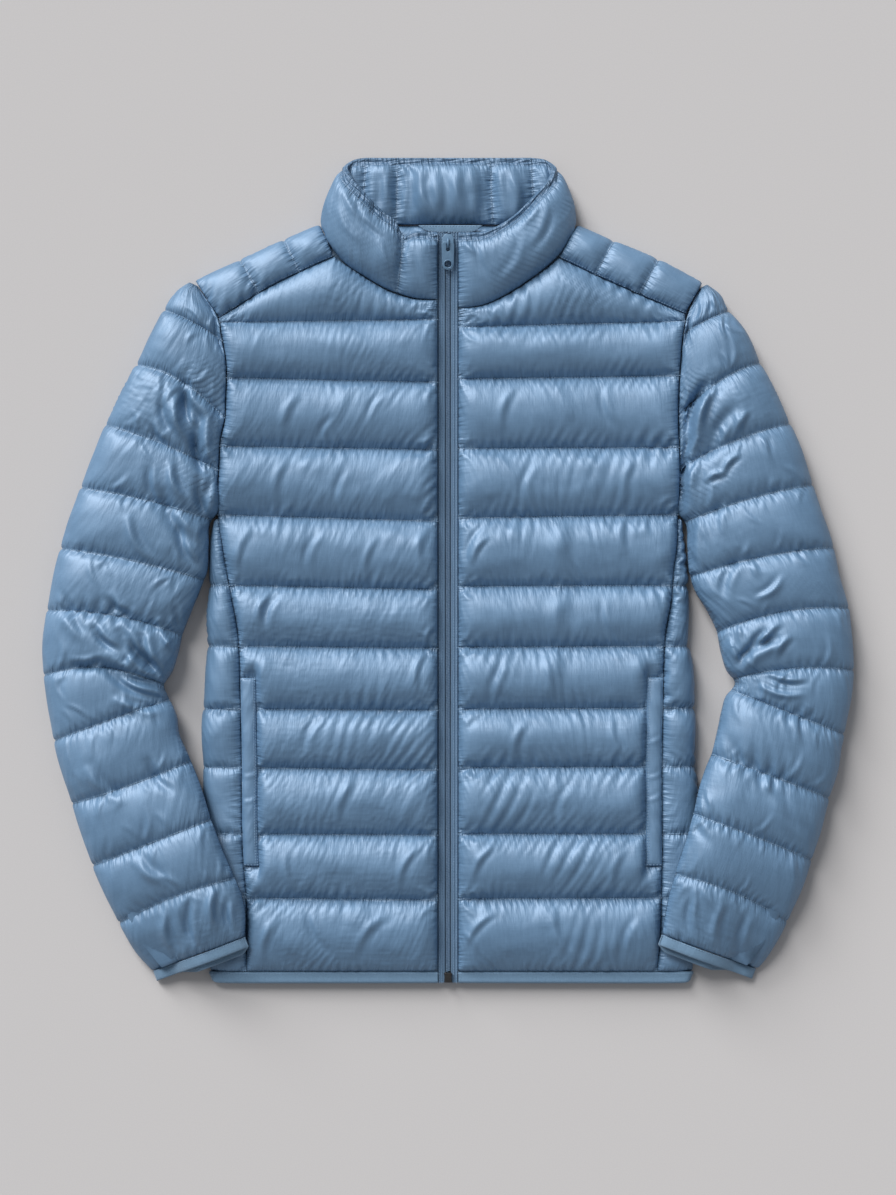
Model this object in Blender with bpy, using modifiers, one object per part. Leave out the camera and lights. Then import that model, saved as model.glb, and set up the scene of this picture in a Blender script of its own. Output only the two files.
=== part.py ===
"""A light down jacket lying flat on a surface, with its front up and the collar at +Y.

Tables are in millimetres, in the jacket's own frame: x runs across it, y from hem to collar and
z up from the surface. The mesh points are made in metres. A distance called "out" is measured
away from the centre line, so that one function builds the left (-x) and the right (+x) piece.
"""

import math
from collections import namedtuple

import bmesh
import bpy
import numpy as np
from mathutils import Matrix, Vector

MM = 0.001
LEFT = -1
RIGHT = 1
SIDE_NAMES = {LEFT: "left", RIGHT: "right"}

# Driving sizes of the cloth
SEAM_GAP = 0.3  # between the edges of two pieces sewn together
LAYER_GAP = 1.0  # between the front and the back, which lie on each other
SEAM_THICKNESS = 5.0  # padded wall where it is stitched down
LOFT = 15.0  # what a full channel adds to that
QUILT_LINE = 2.0  # share of the filling, in mm, that a quilting line in mid panel keeps
WELT_WIDTH = 16.0
WELT_THICKNESS = 2.6
ZIP_EDGE = 9.6  # out, where fronts and collar end beside the zip

# One quilted channel, from one stitched line to the next: place across it, share of the loft
Channel = namedtuple("Channel", "place rise")
CHANNEL = (Channel(0.0, 0.0), Channel(0.18, 0.72), Channel(0.5, 1.0), Channel(0.82, 0.72))

# Lines of the cut, as (y, out)
SIDE_SEAM = {
    LEFT: ((-370, 186), (-303, 186), (-257, 189), (-175, 190), (-119, 191), (-83, 192), (-55, 194),
           (-27, 199), (0, 204), (23, 208), (51, 212)),
    RIGHT: ((-370, 193), (-349, 195), (-285, 197), (-175, 197), (-119, 198), (-83, 199), (-55, 201),
            (-27, 206), (0, 208), (23, 211), (51, 212)),
}
BODY_EDGE = {
    LEFT: ((-370, 221), (-303, 224), (-211, 226), (-175, 227), (-138, 227), (-101, 224), (-64, 222),
           (-27, 221), (23, 219.5), (48, 216)),
    RIGHT: ((-370, 227), (-303, 229), (-211, 231), (-165, 228), (-119, 227), (-92, 225), (-64, 222),
            (-27, 222), (9, 219.5), (48, 216)),
}
ARMHOLE = {
    LEFT: ((51, 212), (83, 211), (101, 210), (120, 209), (138, 205), (157, 204), (193, 204), (216, 208),
           (232, 211), (241, 216), (253, 224), (269, 235)),
    RIGHT: ((51, 212), (74, 213), (101, 213), (129, 212), (157, 212), (193, 214), (216, 216), (235, 220),
            (251, 227), (267, 236)),
}
SLEEVE_OUTER = {
    LEFT: ((-370, 274), (-354, 288), (-326, 303), (-299, 316), (-271, 328), (-239, 339), (-211, 348),
           (-175, 359), (-147, 365), (-119, 370), (-92, 373), (-64, 373), (-46, 371), (-14, 365),
           (19, 357), (37, 352), (62, 343), (83, 336), (106, 327), (132, 317), (152, 307), (170, 297),
           (193, 285), (216, 274), (246, 258), (261, 247), (269, 235)),
    RIGHT: ((-370, 284), (-363, 291), (-345, 303), (-322, 314), (-299, 324), (-268, 335), (-239, 344),
            (-211, 351), (-184, 359), (-165, 362), (-138, 368), (-110, 373), (-83, 374), (-55, 372),
            (-27, 368), (-9, 362), (28, 354), (55, 344), (83, 335), (115, 324), (138, 314), (166, 301),
            (193, 287), (221, 273), (239, 259), (256, 250), (267, 236)),
}
SLEEVE_INNER = {
    LEFT: ((-336, 186), (-317, 186), (-299, 189), (-280, 196), (-253, 208), (-230, 216), (-207, 224),
           (-188, 231), (-170, 238), (-152, 247), (-133, 250), (-119, 256), (-107, 261), (-94, 254),
           (-78, 249), (-60, 244), (-37, 236), (-18, 228), (-4, 222), (23, 220.5), (45, 217.5)),
    RIGHT: ((-334, 196), (-303, 202), (-271, 210), (-248, 218), (-221, 225), (-202, 230), (-184, 236),
            (-165, 243), (-147, 248), (-129, 252), (-115, 256), (-104, 264), (-94, 257), (-78, 252),
            (-57, 247), (-38, 239), (-18, 227), (-4, 222), (23, 220.5), (44, 217.5)),
}

# Quilting lines of the body from the hem up: y at the side, y at the zip, height of the back's top
BodyLine = namedtuple("BodyLine", "side zip lining")
BODY_LINES = {
    LEFT: (BodyLine(-370, -370, 5), BodyLine(-302, -304, 11), BodyLine(-243, -244, 12),
           BodyLine(-182, -184, 12), BodyLine(-128, -129, 12), BodyLine(-70, -72, 12),
           BodyLine(-14, -18, 12), BodyLine(51, 45, 12), BodyLine(114, 111, 12), BodyLine(177, 173, 12),
           BodyLine(228, 231, 12)),
    RIGHT: (BodyLine(-370, -370, 5), BodyLine(-302, -303, 11), BodyLine(-243, -243, 12),
            BodyLine(-181, -182, 12), BodyLine(-127, -128, 12), BodyLine(-70, -71, 12),
            BodyLine(-14, -15, 12), BodyLine(51, 48, 12), BodyLine(113, 112, 12), BodyLine(179, 176, 12),
            BodyLine(229, 224, 12)),
}
ARMPIT_LINE = 7  # index of the line that meets the armhole's lowest point

# Edges of the front's top channel as (out, y): the yoke seam inwards, then the collar seam
YOKE_SEAM = {
    LEFT: ((211, 232), (192, 244), (173, 256), (136, 275), (105, 289)),
    RIGHT: ((218, 236), (199, 244), (176, 254), (140, 270), (102, 288)),
}
COLLAR_SEAM = {
    LEFT: ((105, 289), (80, 272), (54, 257), (32, 250.3), (9.6, 249)),
    RIGHT: ((102, 288), (80, 270.5), (56, 254.8), (32, 244), (9.6, 241)),
}

# Columns of a front: the welt's two, then shares of the rest of its width, with the loft of each
FRONT_REST = (0.15, 0.3, 0.45, 0.6, 0.75, 0.9, 1.0)
FRONT_LOFT = (0.0, 0.45, 0.75, 1.0, 1.0, 1.0, 1.0, 1.0, 0.75, 0.0)
FRONT_APEX = 5  # column that meets the corner of yoke seam and collar seam
WELT_LOFT = (0.0, 0.2, 0.35)  # loft of the first columns beside the pocket
WELT_COLUMNS = 3
WELT_FROM = (1, 0.5)  # first row of the welt: line and place in the channel
WELT_TO = (4, 0.5)

# Shoulder yokes: point on the yoke seam and on the shoulder, each (out, y), at each line of stitching
YokeLine = namedtuple("YokeLine", "seam edge")
YOKE_LINES = {
    LEFT: (YokeLine((107, 290), (118, 319)), YokeLine((136, 275), (145, 308)),
           YokeLine((176, 254), (189, 288)), YokeLine((211, 233), (234, 268))),
    RIGHT: (YokeLine((105, 289), (119, 319)), YokeLine((137, 271.5), (144, 308)),
            YokeLine((178, 253), (194, 287)), YokeLine((218, 237), (235.5, 266))),
}

# Section of a piece that turns over the edge to the surface: share of its width from the seam out,
# height above the surface, what the loft adds, and what it adds where a sleeve presses on it
EdgeRow = namedtuple("EdgeRow", "across height loft pressed")
EDGE_SECTION = (EdgeRow(0.0, 18.0, 0.0, 0.0), EdgeRow(0.3, 18.6, 7.5, 0.6), EdgeRow(0.65, 17.4, 7.5, 1.2),
                EdgeRow(0.9, 14.0, 5.0, 1.5), EdgeRow(1.0, 8.0, 0.0, 0.0))
EDGE_FOOT = 24.0  # width that the turned-over part is worked out from
EDGE_TURN = ((0.06, 2.5), (0.2, 0.0))  # share of the foot in from the edge, height above the surface
FOOT_SHARE = 0.5  # share of the foot that reaches under the body
EDGE_NOTCH = 1.4  # how far a stitched line draws the edge in
EDGE_FOLLOW = 14.0  # height from which the section goes fully up and down with the lining
UNDER_SLEEVE = ((-215, 1.0), (-150, 0.0))  # y, and how far a sleeve presses the side panel down

# Sleeves from the shoulder down: y at the outer and inner edge, height, share of the armhole form,
# height and start of the lift over the body's edge, slit height, wall at the edge, reach of the underside
SleeveLine = namedtuple("SleeveLine", "outer inner height cap lift lean slit wall reach")
SLEEVE_LINES = {
    LEFT: (SleeveLine(266, 262, 19, 1, 0, 1, 1.3, 2, 0), SleeveLine(240, 211, 31, 1, 0, 1, 1.3, 13, 0),
           SleeveLine(189, 140, 36, 1, 0, 1, 1.3, 14, 0), SleeveLine(134, 92, 38, 1, 0, 1, 1.3, 14, 0),
           SleeveLine(76, 46, 39, 0, 0, 1, 1.6, 14, 0), SleeveLine(20, -9, 40, 0, 0, 1, 2, 14, 0),
           SleeveLine(-37, -60, 40, 0, 0, 1, 2, 14, 0), SleeveLine(-97, -106, 41, 0, 0, 1, 2, 14, 0),
           SleeveLine(-157, -119, 41, 0, 0, 1, 2, 14, 0), SleeveLine(-215, -175, 40, 0, 7, .8, 2, 14, 0),
           SleeveLine(-272, -228, 38, 0, 20.5, .78, 2, 13, 0),
           SleeveLine(-325, -282, 34, 0, 20.7, .66, 2, 12, 0),
           SleeveLine(-370, -336, 15, 0, 20.7, .5, 3, 6, 5)),
    RIGHT: (SleeveLine(264, 260, 19, 1, 0, 1, 1.3, 2, 0), SleeveLine(239, 218, 31, 1, 0, 1, 1.3, 13, 0),
            SleeveLine(191, 142, 36, 1, 0, 1, 1.3, 14, 0), SleeveLine(135, 94, 38, 1, 0, 1, 1.3, 14, 0),
            SleeveLine(79, 44, 39, 0, 0, 1, 1.6, 14, 0), SleeveLine(21, -6, 40, 0, 0, 1, 2, 14, 0),
            SleeveLine(-35, -57, 40, 0, 0, 1, 2, 14, 0), SleeveLine(-92, -100, 41, 0, 0, 1, 2, 14, 0),
            SleeveLine(-151, -110, 41, 0, 0, 1, 2, 14, 0), SleeveLine(-210, -169, 40, 0, 7, .8, 2, 14, 0),
            SleeveLine(-267, -223, 38, 0, 20.5, .78, 2, 13, 0),
            SleeveLine(-324, -279, 34, 0, 20.7, .66, 2, 12, 0),
            SleeveLine(-368, -334, 15, 0, 20.7, .5, 3, 6, 5)),
}
# Section of a sleeve from its underarm seam over the top, round the outer edge and back underneath:
# share of the width from the outer edge, share of the height, and both where it meets the armhole
SleevePoint = namedtuple("SleevePoint", "across up cap_across cap_up")
SLEEVE_SECTION = (
    SleevePoint(1.0, 0.42, 1.0, 0.0), SleevePoint(0.95, 0.72, 0.93, 0.8), SleevePoint(0.81, 0.93, 0.8, 0.93),
    SleevePoint(0.62, 1.0, 0.62, 1.0), SleevePoint(0.38, 1.0, 0.38, 1.0), SleevePoint(0.18, 0.91, 0.18, 0.91),
    SleevePoint(0.05, 0.7, 0.05, 0.7), SleevePoint(0.0, 0.4, 0.0, 0.4), SleevePoint(0.06, 0.14, 0.06, 0.14),
    SleevePoint(0.2, 0.0, 0.2, 0.0), SleevePoint(0.5, 0.0, 0.5, 0.0), SleevePoint(0.8, 0.0, 0.8, 0.0),
    SleevePoint(0.94, 0.12, 0.95, 0.0), SleevePoint(1.0, 0.36, 1.0, 0.0))
SLEEVE_ARMPIT_LINE = 4  # index of the line at the armhole's lowest point
FIRST_UNDER = 8  # index of the first point on the section's underside
SLEEVE_GROOVE = 0.72  # share of its height that a sleeve keeps at a stitched line
SLEEVE_NOTCH = 2.5  # how far a stitched line draws each edge in
NOTCH_SHARE = 0.05  # the most of a sleeve's width that a stitched line draws in
WALL_SHARE = 0.3  # the most of a sleeve's width that the wall at its edge takes
SLEEVE_FULL_LOFT = 45.0  # spacing of the lines at which a channel reaches its full loft
ARMHOLE_TOP = 18.0  # height of the body's outer face at the armhole
SLIT_LEVEL = 12.7  # height of the slit between a sleeve's layers
CUFF_WIDTH = 10.5
PRESSED = 0.25  # share of its height that a sleeve loses where it lies on the body
PRESSED_LIFT = 20.0  # lift at which it has lost all of that
LIFT_FROM = 0.2  # share of a sleeve's width at which it starts to rise over the body

# Bands that turn over the edge and run back under themselves. Stations from the zip to the middle
# of the back: lower and upper edge as (out, y), how far the band has turned, loft outside and inside
BandLine = namedtuple("BandLine", "low high turn outside inside")
COLLAR_LINES = {
    LEFT: (BandLine((9.6, 249.4), (9.6, 310.5), 0, 1, 0), BandLine((32, 250.8), (28, 311), 0, 7.5, 0),
           BandLine((45, 255), (37, 314), 0, 5.5, 0), BandLine((54, 257.6), (45, 318), 0, 10.5, 0),
           BandLine((80, 272.8), (61, 331), 4, 11.5, 0),
           BandLine((95, 283.6), (78, 349), 15, 11, 0), BandLine((108, 302), (88, 361), 45, 8, 0),
           BandLine((113, 321), (94, 372), 90, 3, 0), BandLine((109, 322.5), (91, 377), 135, 0, 0),
           BandLine((98, 321.5), (84, 380.4), 180, 0, 4), BandLine((80, 320.5), (76, 381.4), 180, 0, 1.5),
           BandLine((63, 320), (60, 381.4), 180, 0, 7.5), BandLine((47, 320), (45, 381.4), 180, 0, 1.5),
           BandLine((24, 320), (23, 381.4), 180, 0, 8)),
    RIGHT: (BandLine((9.6, 241.4), (9.6, 310.5), 0, 1, 0), BandLine((32, 244.6), (29, 310), 0, 7.5, 0),
            BandLine((46, 251), (41, 314), 0, 5.5, 0), BandLine((56, 255.5), (49, 318), 0, 10.5, 0),
            BandLine((80, 271.4), (66, 331), 4, 11.5, 0),
            BandLine((95, 284), (83, 349), 15, 11, 0), BandLine((108, 301), (93, 361), 45, 8, 0),
            BandLine((113.5, 321), (97, 372), 90, 3, 0), BandLine((110, 322.5), (94, 377), 135, 0, 0),
            BandLine((99, 321.5), (87, 380.4), 180, 0, 4), BandLine((80, 320.5), (76, 381.4), 180, 0, 1.5),
            BandLine((60, 320), (57, 381.4), 180, 0, 7.5), BandLine((42, 320), (40, 381.4), 180, 0, 1.5),
            BandLine((22, 320), (21, 381.4), 180, 0, 8)),
}
HEM_LINES = {
    LEFT: (BandLine((9.6, -381.4), (9.6, -370.4), 0, 0, 0),
           BandLine((110, -381.4), (110, -370.4), 0, 0, 0),
           BandLine((211, -381.2), (214, -370.4), 0, 0, 0),
           BandLine((214, -380.8), (217.5, -370.4), 45, 0, 0),
           BandLine((215, -380.2), (219, -370.4), 90, 0, 0),
           BandLine((214, -380.8), (217.5, -370.4), 135, 0, 0),
           BandLine((211, -381.2), (214, -370.4), 180, 0, 0),
           BandLine((110, -381.4), (110, -370.4), 180, 0, 0)),
    RIGHT: (BandLine((9.6, -381.4), (9.6, -370.4), 0, 0, 0),
            BandLine((110, -381.4), (110, -370.4), 0, 0, 0),
            BandLine((217, -381.2), (220, -370.4), 0, 0, 0),
            BandLine((220, -380.8), (223.5, -370.4), 45, 0, 0),
            BandLine((221, -380.2), (225, -370.4), 90, 0, 0),
            BandLine((220, -380.8), (223.5, -370.4), 135, 0, 0),
            BandLine((217, -381.2), (220, -370.4), 180, 0, 0),
            BandLine((110, -381.4), (110, -370.4), 180, 0, 0)),
}
# Across a band from its lower to its upper edge: place, and share of the loft
COLLAR_PROFILE = ((0.0, 0.0), (0.13, 0.6), (0.35, 1.0), (0.65, 1.0), (0.88, 0.7), (1.0, 0.1))
HEM_PROFILE = ((0.0, 0.0), (0.5, 0.0), (1.0, 0.0))
# Mid heights of a band's front and back half at its lower and upper edge, and its wall
BandLevels = namedtuple("BandLevels", "front_low front_high back wall")
COLLAR_LEVELS = BandLevels(16.0, 22.0, 2.5, 5.0)
HEM_LEVELS = BandLevels(8.2, 8.2, 2.2, 4.4)

# Edge of the back panel at the shoulder and neck, as (y, out), above the armhole
BACK_CLEAR = 4.0  # y between the last point beside the armhole and the shoulder
LINING = 12.0  # height of the back's inner face at the shoulder and neck
BACK_TOP = {
    LEFT: ((256, 225), (273.2, 183.5), (295.8, 141), (303, 120), (303.5, 101), (319, 93)),
    RIGHT: ((254, 227), (274.2, 188), (295.8, 141), (303, 120), (303.5, 101), (319, 93)),
}

# Zip: y and height of the underside of its tapes
ZIP_PATH = ((-380.8, 6.4), (-302, 12.4), (-243, 13.3), (0, 13.3), (249, 13.4), (310.5, 19.8))
TAPE_INNER = 2.6
TAPE_OUTER = 9.3
TAPE_THICKNESS = 2.0
COIL_RADIUS = 2.2
COIL_FLATNESS = 0.75
COIL_END = -371.0
STOP_SIZE = (7.6, 9.0, 2.8)
STOP_ROUNDING = 0.7
STOP_GAP = 0.4  # between the end of the coil and the stop
SLIDER_Y = 301.0
SLIDER_BELOW = 5.0  # plate below and above the pull's axis
SLIDER_ABOVE = 8.0
SLIDER_WIDTH = 10.5
SLIDER_NOSE = (0.72, 4.0)  # share of the width at its lower end, and y at which it is full
SLIDER_TAIL = (0.6, 3.0)
SLIDER_THICKNESS = 1.6
BAIL_RADIUS = 0.9
BAIL_SPAN = 7.0
BAIL_RISE = 4.8
BAIL_SHOULDER = 0.45  # share of its height at which the bail starts to curve over
PULL_LENGTH = 25.0
PULL_WIDTH = 11.5
PULL_THICKNESS = 1.4
PULL_SLOT = (3.4, 8.2)
PULL_BAR = 1.6  # bar of the pull under the bail
PULL_TOP = (0.8, 2.0)  # share of its width at the bar, and how far down it is full
PULL_TAPER = 0.92  # share of its width at the rounded end
EYELET_RADIUS = 3.2
LOOP_OUTLINE = ((-26, 318.4), (-20, 312.6), (-14, 311.2), (22, 311.2), (27, 313), (32, 318.4))
LOOP_THICKNESS = 1.4

SHELL_BLUE = (0.13, 0.235, 0.375, 1.0)
BINDING_BLUE = (0.15, 0.26, 0.40, 1.0)
ZIP_BLUE = (0.10, 0.18, 0.29, 1.0)
PULL_BLUE = (0.16, 0.27, 0.41, 1.0)
METAL_DARK = (0.05, 0.05, 0.055, 1.0)


def clear_scene():
    for obj in list(bpy.data.objects):
        bpy.data.objects.remove(obj, do_unlink=True)


def make_collection(name):
    collection = bpy.data.collections.new(name)
    bpy.context.scene.collection.children.link(collection)
    return collection


def make_material(name, colour, roughness, metallic=0.0):
    material = bpy.data.materials.new(name)
    material.use_nodes = True
    shader = material.node_tree.nodes["Principled BSDF"]
    shader.inputs["Base Color"].default_value = colour
    shader.inputs["Roughness"].default_value = roughness
    shader.inputs["Metallic"].default_value = metallic
    return material


def add_object(name, mesh, collection, material):
    obj = bpy.data.objects.new(name, mesh)
    mesh.materials.append(material)
    collection.objects.link(obj)
    return obj


def out_at(line, y):
    """How far out a line of the cut lies at this y, or another value of a table by y."""
    ys, outs = zip(*line)
    return float(np.interp(y, ys, outs))


def along(points, share):
    """The point at this share of the way along a chain of points."""
    points = np.array(points, float)
    steps = np.linalg.norm(np.diff(points, axis=0), axis=1)
    at = np.concatenate([[0.0], np.cumsum(steps)])
    return [float(np.interp(share * at[-1], at, points[:, axis])) for axis in range(points.shape[1])]


def mix(a, b, share):
    return a + (b - a) * share


def mix_rows(first, second, share):
    """A table row part way between two others."""
    return type(first)(*(mix(a, b, share) for a, b in zip(first, second)))


def channel_rows(count):
    """(line, place, rise) of each row of a panel that has this many lines of stitching."""
    rows = [(line, step.place, step.rise) for line in range(count - 1) for step in CHANNEL]
    return rows + [(count - 1, 0.0, 0.0)]


def between(lines, line, place):
    """The table's row at a place between one line of stitching and the next."""
    return mix_rows(lines[line], lines[min(line + 1, len(lines) - 1)], place)


def stitch(bm, first, second):
    """Closes the strip between two chains of points that run the same way."""
    i = 0
    j = 0
    while i < len(first) - 1 or j < len(second) - 1:
        last_i = i == len(first) - 1
        last_j = j == len(second) - 1
        if last_j or not last_i and (
            (first[i + 1].co - second[j].co).length <= (first[i].co - second[j + 1].co).length
        ):
            bm.faces.new((first[i], first[i + 1], second[j]))
            i += 1
        else:
            bm.faces.new((first[i], second[j + 1], second[j]))
            j += 1


def make_wall(name, outer, inner, collection, material):
    """A closed wall between an outer and an inner grid of points, whose corners belong together."""
    bm = bmesh.new()
    faces = []
    for grid in (outer, inner):
        verts = [[bm.verts.new(Vector(point) * MM) for point in row] for row in grid]
        for low, high in zip(verts, verts[1:]):
            for k in range(len(low) - 1):
                bm.faces.new((low[k], low[k + 1], high[k + 1]))
                bm.faces.new((low[k], high[k + 1], high[k]))
        faces.append(verts)
    outside, inside = faces
    stitch(bm, outside[0], inside[0])
    stitch(bm, outside[-1], inside[-1])
    stitch(bm, [row[0] for row in outside], [row[0] for row in inside])
    stitch(bm, [row[-1] for row in outside], [row[-1] for row in inside])
    bmesh.ops.recalc_face_normals(bm, faces=bm.faces)
    mesh = bpy.data.meshes.new(name)
    bm.to_mesh(mesh)
    bm.free()
    mesh.shade_smooth()
    mesh.set_sharp_from_angle(angle=math.radians(50))
    return add_object(name, mesh, collection, material)


def side_line(side, y):
    """Where a front ends: at the armhole, or at the side seam below it."""
    armpit = ARMHOLE[side][0][0]
    return out_at(ARMHOLE[side] if y > armpit else SIDE_SEAM[side], y)


def front_columns(side, row):
    """Points (x, y) across a front, at a row of its table, from the side to the zip."""
    start = side_line(side, row.side) - SEAM_GAP / 2
    width = start - ZIP_EDGE
    rest = width - WELT_WIDTH
    reach = [0.0, WELT_WIDTH / 2, WELT_WIDTH] + [WELT_WIDTH + rest * share for share in FRONT_REST]
    return [(side * (start - far), mix(row.side, row.zip, far / width)) for far in reach]


def front_top(side):
    """Points (x, y) along the top of a front: the yoke seam, then the collar seam."""
    shares = [column / FRONT_APEX for column in range(FRONT_APEX)]
    points = [along(YOKE_SEAM[side], share) for share in shares]
    points += COLLAR_SEAM[side]
    return [(side * (out - SEAM_GAP), y - SEAM_GAP) for out, y in points[:-1]] + [
        (side * points[-1][0], points[-1][1] - SEAM_GAP)
    ]


def front_grid(side):
    """The front's outer points, and its inner ones at the lines of stitching only."""
    lines = BODY_LINES[side]
    top = front_top(side)
    outer = []
    inner = []
    for line, place, rise in channel_rows(len(lines) + 1):
        if line < len(lines) - 1:
            row = between(lines, line, place)
            plan = front_columns(side, row)
            lining = row.lining
        else:
            share = place if line == len(lines) - 1 else 1.0
            low = front_columns(side, lines[-1])
            plan = [(mix(a[0], b[0], share), mix(a[1], b[1], share)) for a, b in zip(low, top)]
            lining = lines[-1].lining
        floor = lining + LAYER_GAP
        welt = WELT_FROM <= (line, place) <= WELT_TO
        heights = []
        for column, loft in enumerate(FRONT_LOFT):
            if welt and column < WELT_COLUMNS:
                loft = WELT_LOFT[column]
            filling = QUILT_LINE * loft + (LOFT - QUILT_LINE) * loft * rise
            heights.append(floor + SEAM_THICKNESS + filling)
        outer.append([(x, y, z) for (x, y), z in zip(plan, heights)])
        if place == 0.0 or line >= ARMPIT_LINE:
            inner.append([(x, y, floor) for x, y in plan])
    return outer, inner


def make_front(side, collection, material):
    outer, inner = front_grid(side)
    make_wall("front_" + SIDE_NAMES[side], outer, inner, collection, material)


def make_welt(side, collection, material):
    """The pocket's welt: a strip laid on the front's own points beside the side seam."""
    outer, _ = front_grid(side)
    rows = [row[:2] for row in channel_rows(len(BODY_LINES[side]) + 1)]
    covered = outer[rows.index(WELT_FROM) : rows.index(WELT_TO) + 1]
    low = [[(x, y, z + SEAM_GAP) for x, y, z in row[:WELT_COLUMNS]] for row in covered]
    high = [[(x, y, z + SEAM_GAP + WELT_THICKNESS) for x, y, z in row[:WELT_COLUMNS]] for row in covered]
    make_wall("pocket_welt_" + SIDE_NAMES[side], high, low, collection, material)


def edge_rings(seam, edge, rise, pressed, lining):
    """Outer and inner points of a section that turns over the edge down to the surface."""
    seam = Vector(seam)
    edge = Vector(edge)
    direction = (edge - seam).normalized()
    width = (edge - seam).length
    foot = min(width, EDGE_FOOT)
    drawn_in = EDGE_NOTCH * (1.0 - rise)
    drop = lining - LINING

    def at(far, height):
        place = seam + direction * far
        return (place.x, place.y, height)

    outer = []
    for row in EDGE_SECTION:
        height = row.height + rise * mix(row.loft, row.pressed, pressed)
        follow = drop * min(1.0, row.height / EDGE_FOLLOW)
        outer.append(at(row.across * (width - drawn_in), height + follow))
    for share, height in EDGE_TURN:
        outer.append(at(width - drawn_in - foot * share, height))
    inside = width - foot * FOOT_SHARE
    level = lining + LAYER_GAP
    inner = [at(0.0, level), at(inside, level), at(inside, 0.0)]
    return outer, inner


def make_side(side, collection, material):
    """A side panel, from the hem to the armpit."""
    lines = BODY_LINES[side][: ARMPIT_LINE + 1]
    outer = []
    inner = []
    for line, place, rise in channel_rows(len(lines)):
        row = between(lines, line, place)
        y = max(row.side, lines[0].side)
        y = min(y, BODY_EDGE[side][-1][0] - 1.0)
        seam = out_at(SIDE_SEAM[side], y) + SEAM_GAP / 2
        edge = out_at(BODY_EDGE[side], y)
        fullness = rise * min(1.0, (edge - seam) / EDGE_FOOT) ** 2
        pressed = out_at(UNDER_SLEEVE, y)
        ring, lining = edge_rings((side * seam, y), (side * edge, y), fullness, pressed, row.lining)
        outer.append(ring)
        if place == 0.0:
            inner.append(lining)
    make_wall("side_" + SIDE_NAMES[side], outer, inner, collection, material)


def make_yoke(side, collection, material):
    """A shoulder yoke, from the neck to the armhole."""
    lines = YOKE_LINES[side]
    outer = []
    inner = []
    for line, place, rise in channel_rows(len(lines)):
        low, high = lines[line], lines[min(line + 1, len(lines) - 1)]
        seam = [mix(a, b, place) for a, b in zip(low.seam, high.seam)]
        edge = [mix(a, b, place) for a, b in zip(low.edge, high.edge)]
        start = (side * (seam[0] + SEAM_GAP / 2), seam[1] + SEAM_GAP)
        ring, lining = edge_rings(start, (side * edge[0], edge[1]), rise, 0.0, LINING)
        outer.append(ring)
        if place == 0.0:
            inner.append(lining)
    make_wall("yoke_" + SIDE_NAMES[side], outer, inner, collection, material)


def make_back(collection, material):
    """The back panel, flat on the surface and plain inside, within the pieces that turn over its edge."""
    edges = {}
    for side in (LEFT, RIGHT):
        rows = []
        for line in BODY_LINES[side][:ARMPIT_LINE]:
            seam = out_at(SIDE_SEAM[side], line.side) + SEAM_GAP / 2
            edge = out_at(BODY_EDGE[side], line.side)
            foot = min(edge - seam, EDGE_FOOT)
            rows.append((line.side, edge - foot * FOOT_SHARE - SEAM_GAP))
        for y, out in ARMHOLE[side]:
            if y < BACK_TOP[side][0][0] - BACK_CLEAR:
                rows.append((y, out - SEAM_GAP))
        edges[side] = rows + list(BACK_TOP[side])
    linings = [(line.side, line.lining) for line in BODY_LINES[RIGHT]]
    under = []
    over = []
    for y in sorted({y for rows in edges.values() for y, _ in rows}):
        columns = (LEFT * out_at(edges[LEFT], y), 0.0, RIGHT * out_at(edges[RIGHT], y))
        lining = out_at(linings, y)
        under.append([(x, y, 0.0) for x in columns])
        over.append([(x, y, lining) for x in columns])
    make_wall("back", under, over, collection, material)


def sleeve_inner_line(side):
    """The sleeve's inner edge: its own below the armpit, the armhole above."""
    armhole = [(y, out + 2 * SEAM_GAP) for y, out in ARMHOLE[side] if y > SLEEVE_INNER[side][-1][0]]
    return tuple(SLEEVE_INNER[side]) + tuple(armhole)


def sleeve_rings(side, row, rise, outer_end, inner_end):
    """Outer and inner points of a sleeve's section, between its outer and its inner edge."""
    start = Vector(outer_end)
    span = Vector(inner_end) - start
    width = span.length
    direction = span.normalized()
    down = Vector((direction.y, -direction.x)) * side
    if down.y > 0:
        down = -down
    notch = min(SLEEVE_NOTCH, width * NOTCH_SHARE) * (1.0 - rise)
    height = row.height * mix(SLEEVE_GROOVE, 1.0, rise)
    inner_notch = notch * (1.0 - row.cap)

    def at(across, z, under):
        place = start + direction * (notch + across * (width - notch - inner_notch))
        place += down * (row.reach if under else 0.0)
        return (place.x, place.y, z)

    def lifted(across):
        return row.lift * min(1.0, max(0.0, (across - LIFT_FROM) / (row.lean - LIFT_FROM)))

    outer = []
    for k, point in enumerate(SLEEVE_SECTION):
        across = mix(point.across, point.cap_across, row.cap)
        up = mix(point.up, point.cap_up, row.cap) * height
        if k == 0:
            up = mix(point.up * height, min(ARMHOLE_TOP, row.height), row.cap)
        lift = lifted(across)
        outer.append(at(across, lift + up * (1.0 - PRESSED * lift / PRESSED_LIFT), k >= FIRST_UNDER))
    wall = min(row.wall, WALL_SHARE * width) / width
    level = min(SLIT_LEVEL, row.height * SLEEVE_GROOVE / 2)
    inner = []
    for across, half in ((1, 1), (0.5, 1), (0, 1), (0, -1), (0.5, -1), (1, -1)):
        place = mix(wall, 1.0 - wall * (1.0 - row.cap), across)
        z = level + lifted(place) + half * row.slit / 2
        inner.append(at(place, z, half < 0))
    return outer, inner


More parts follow.
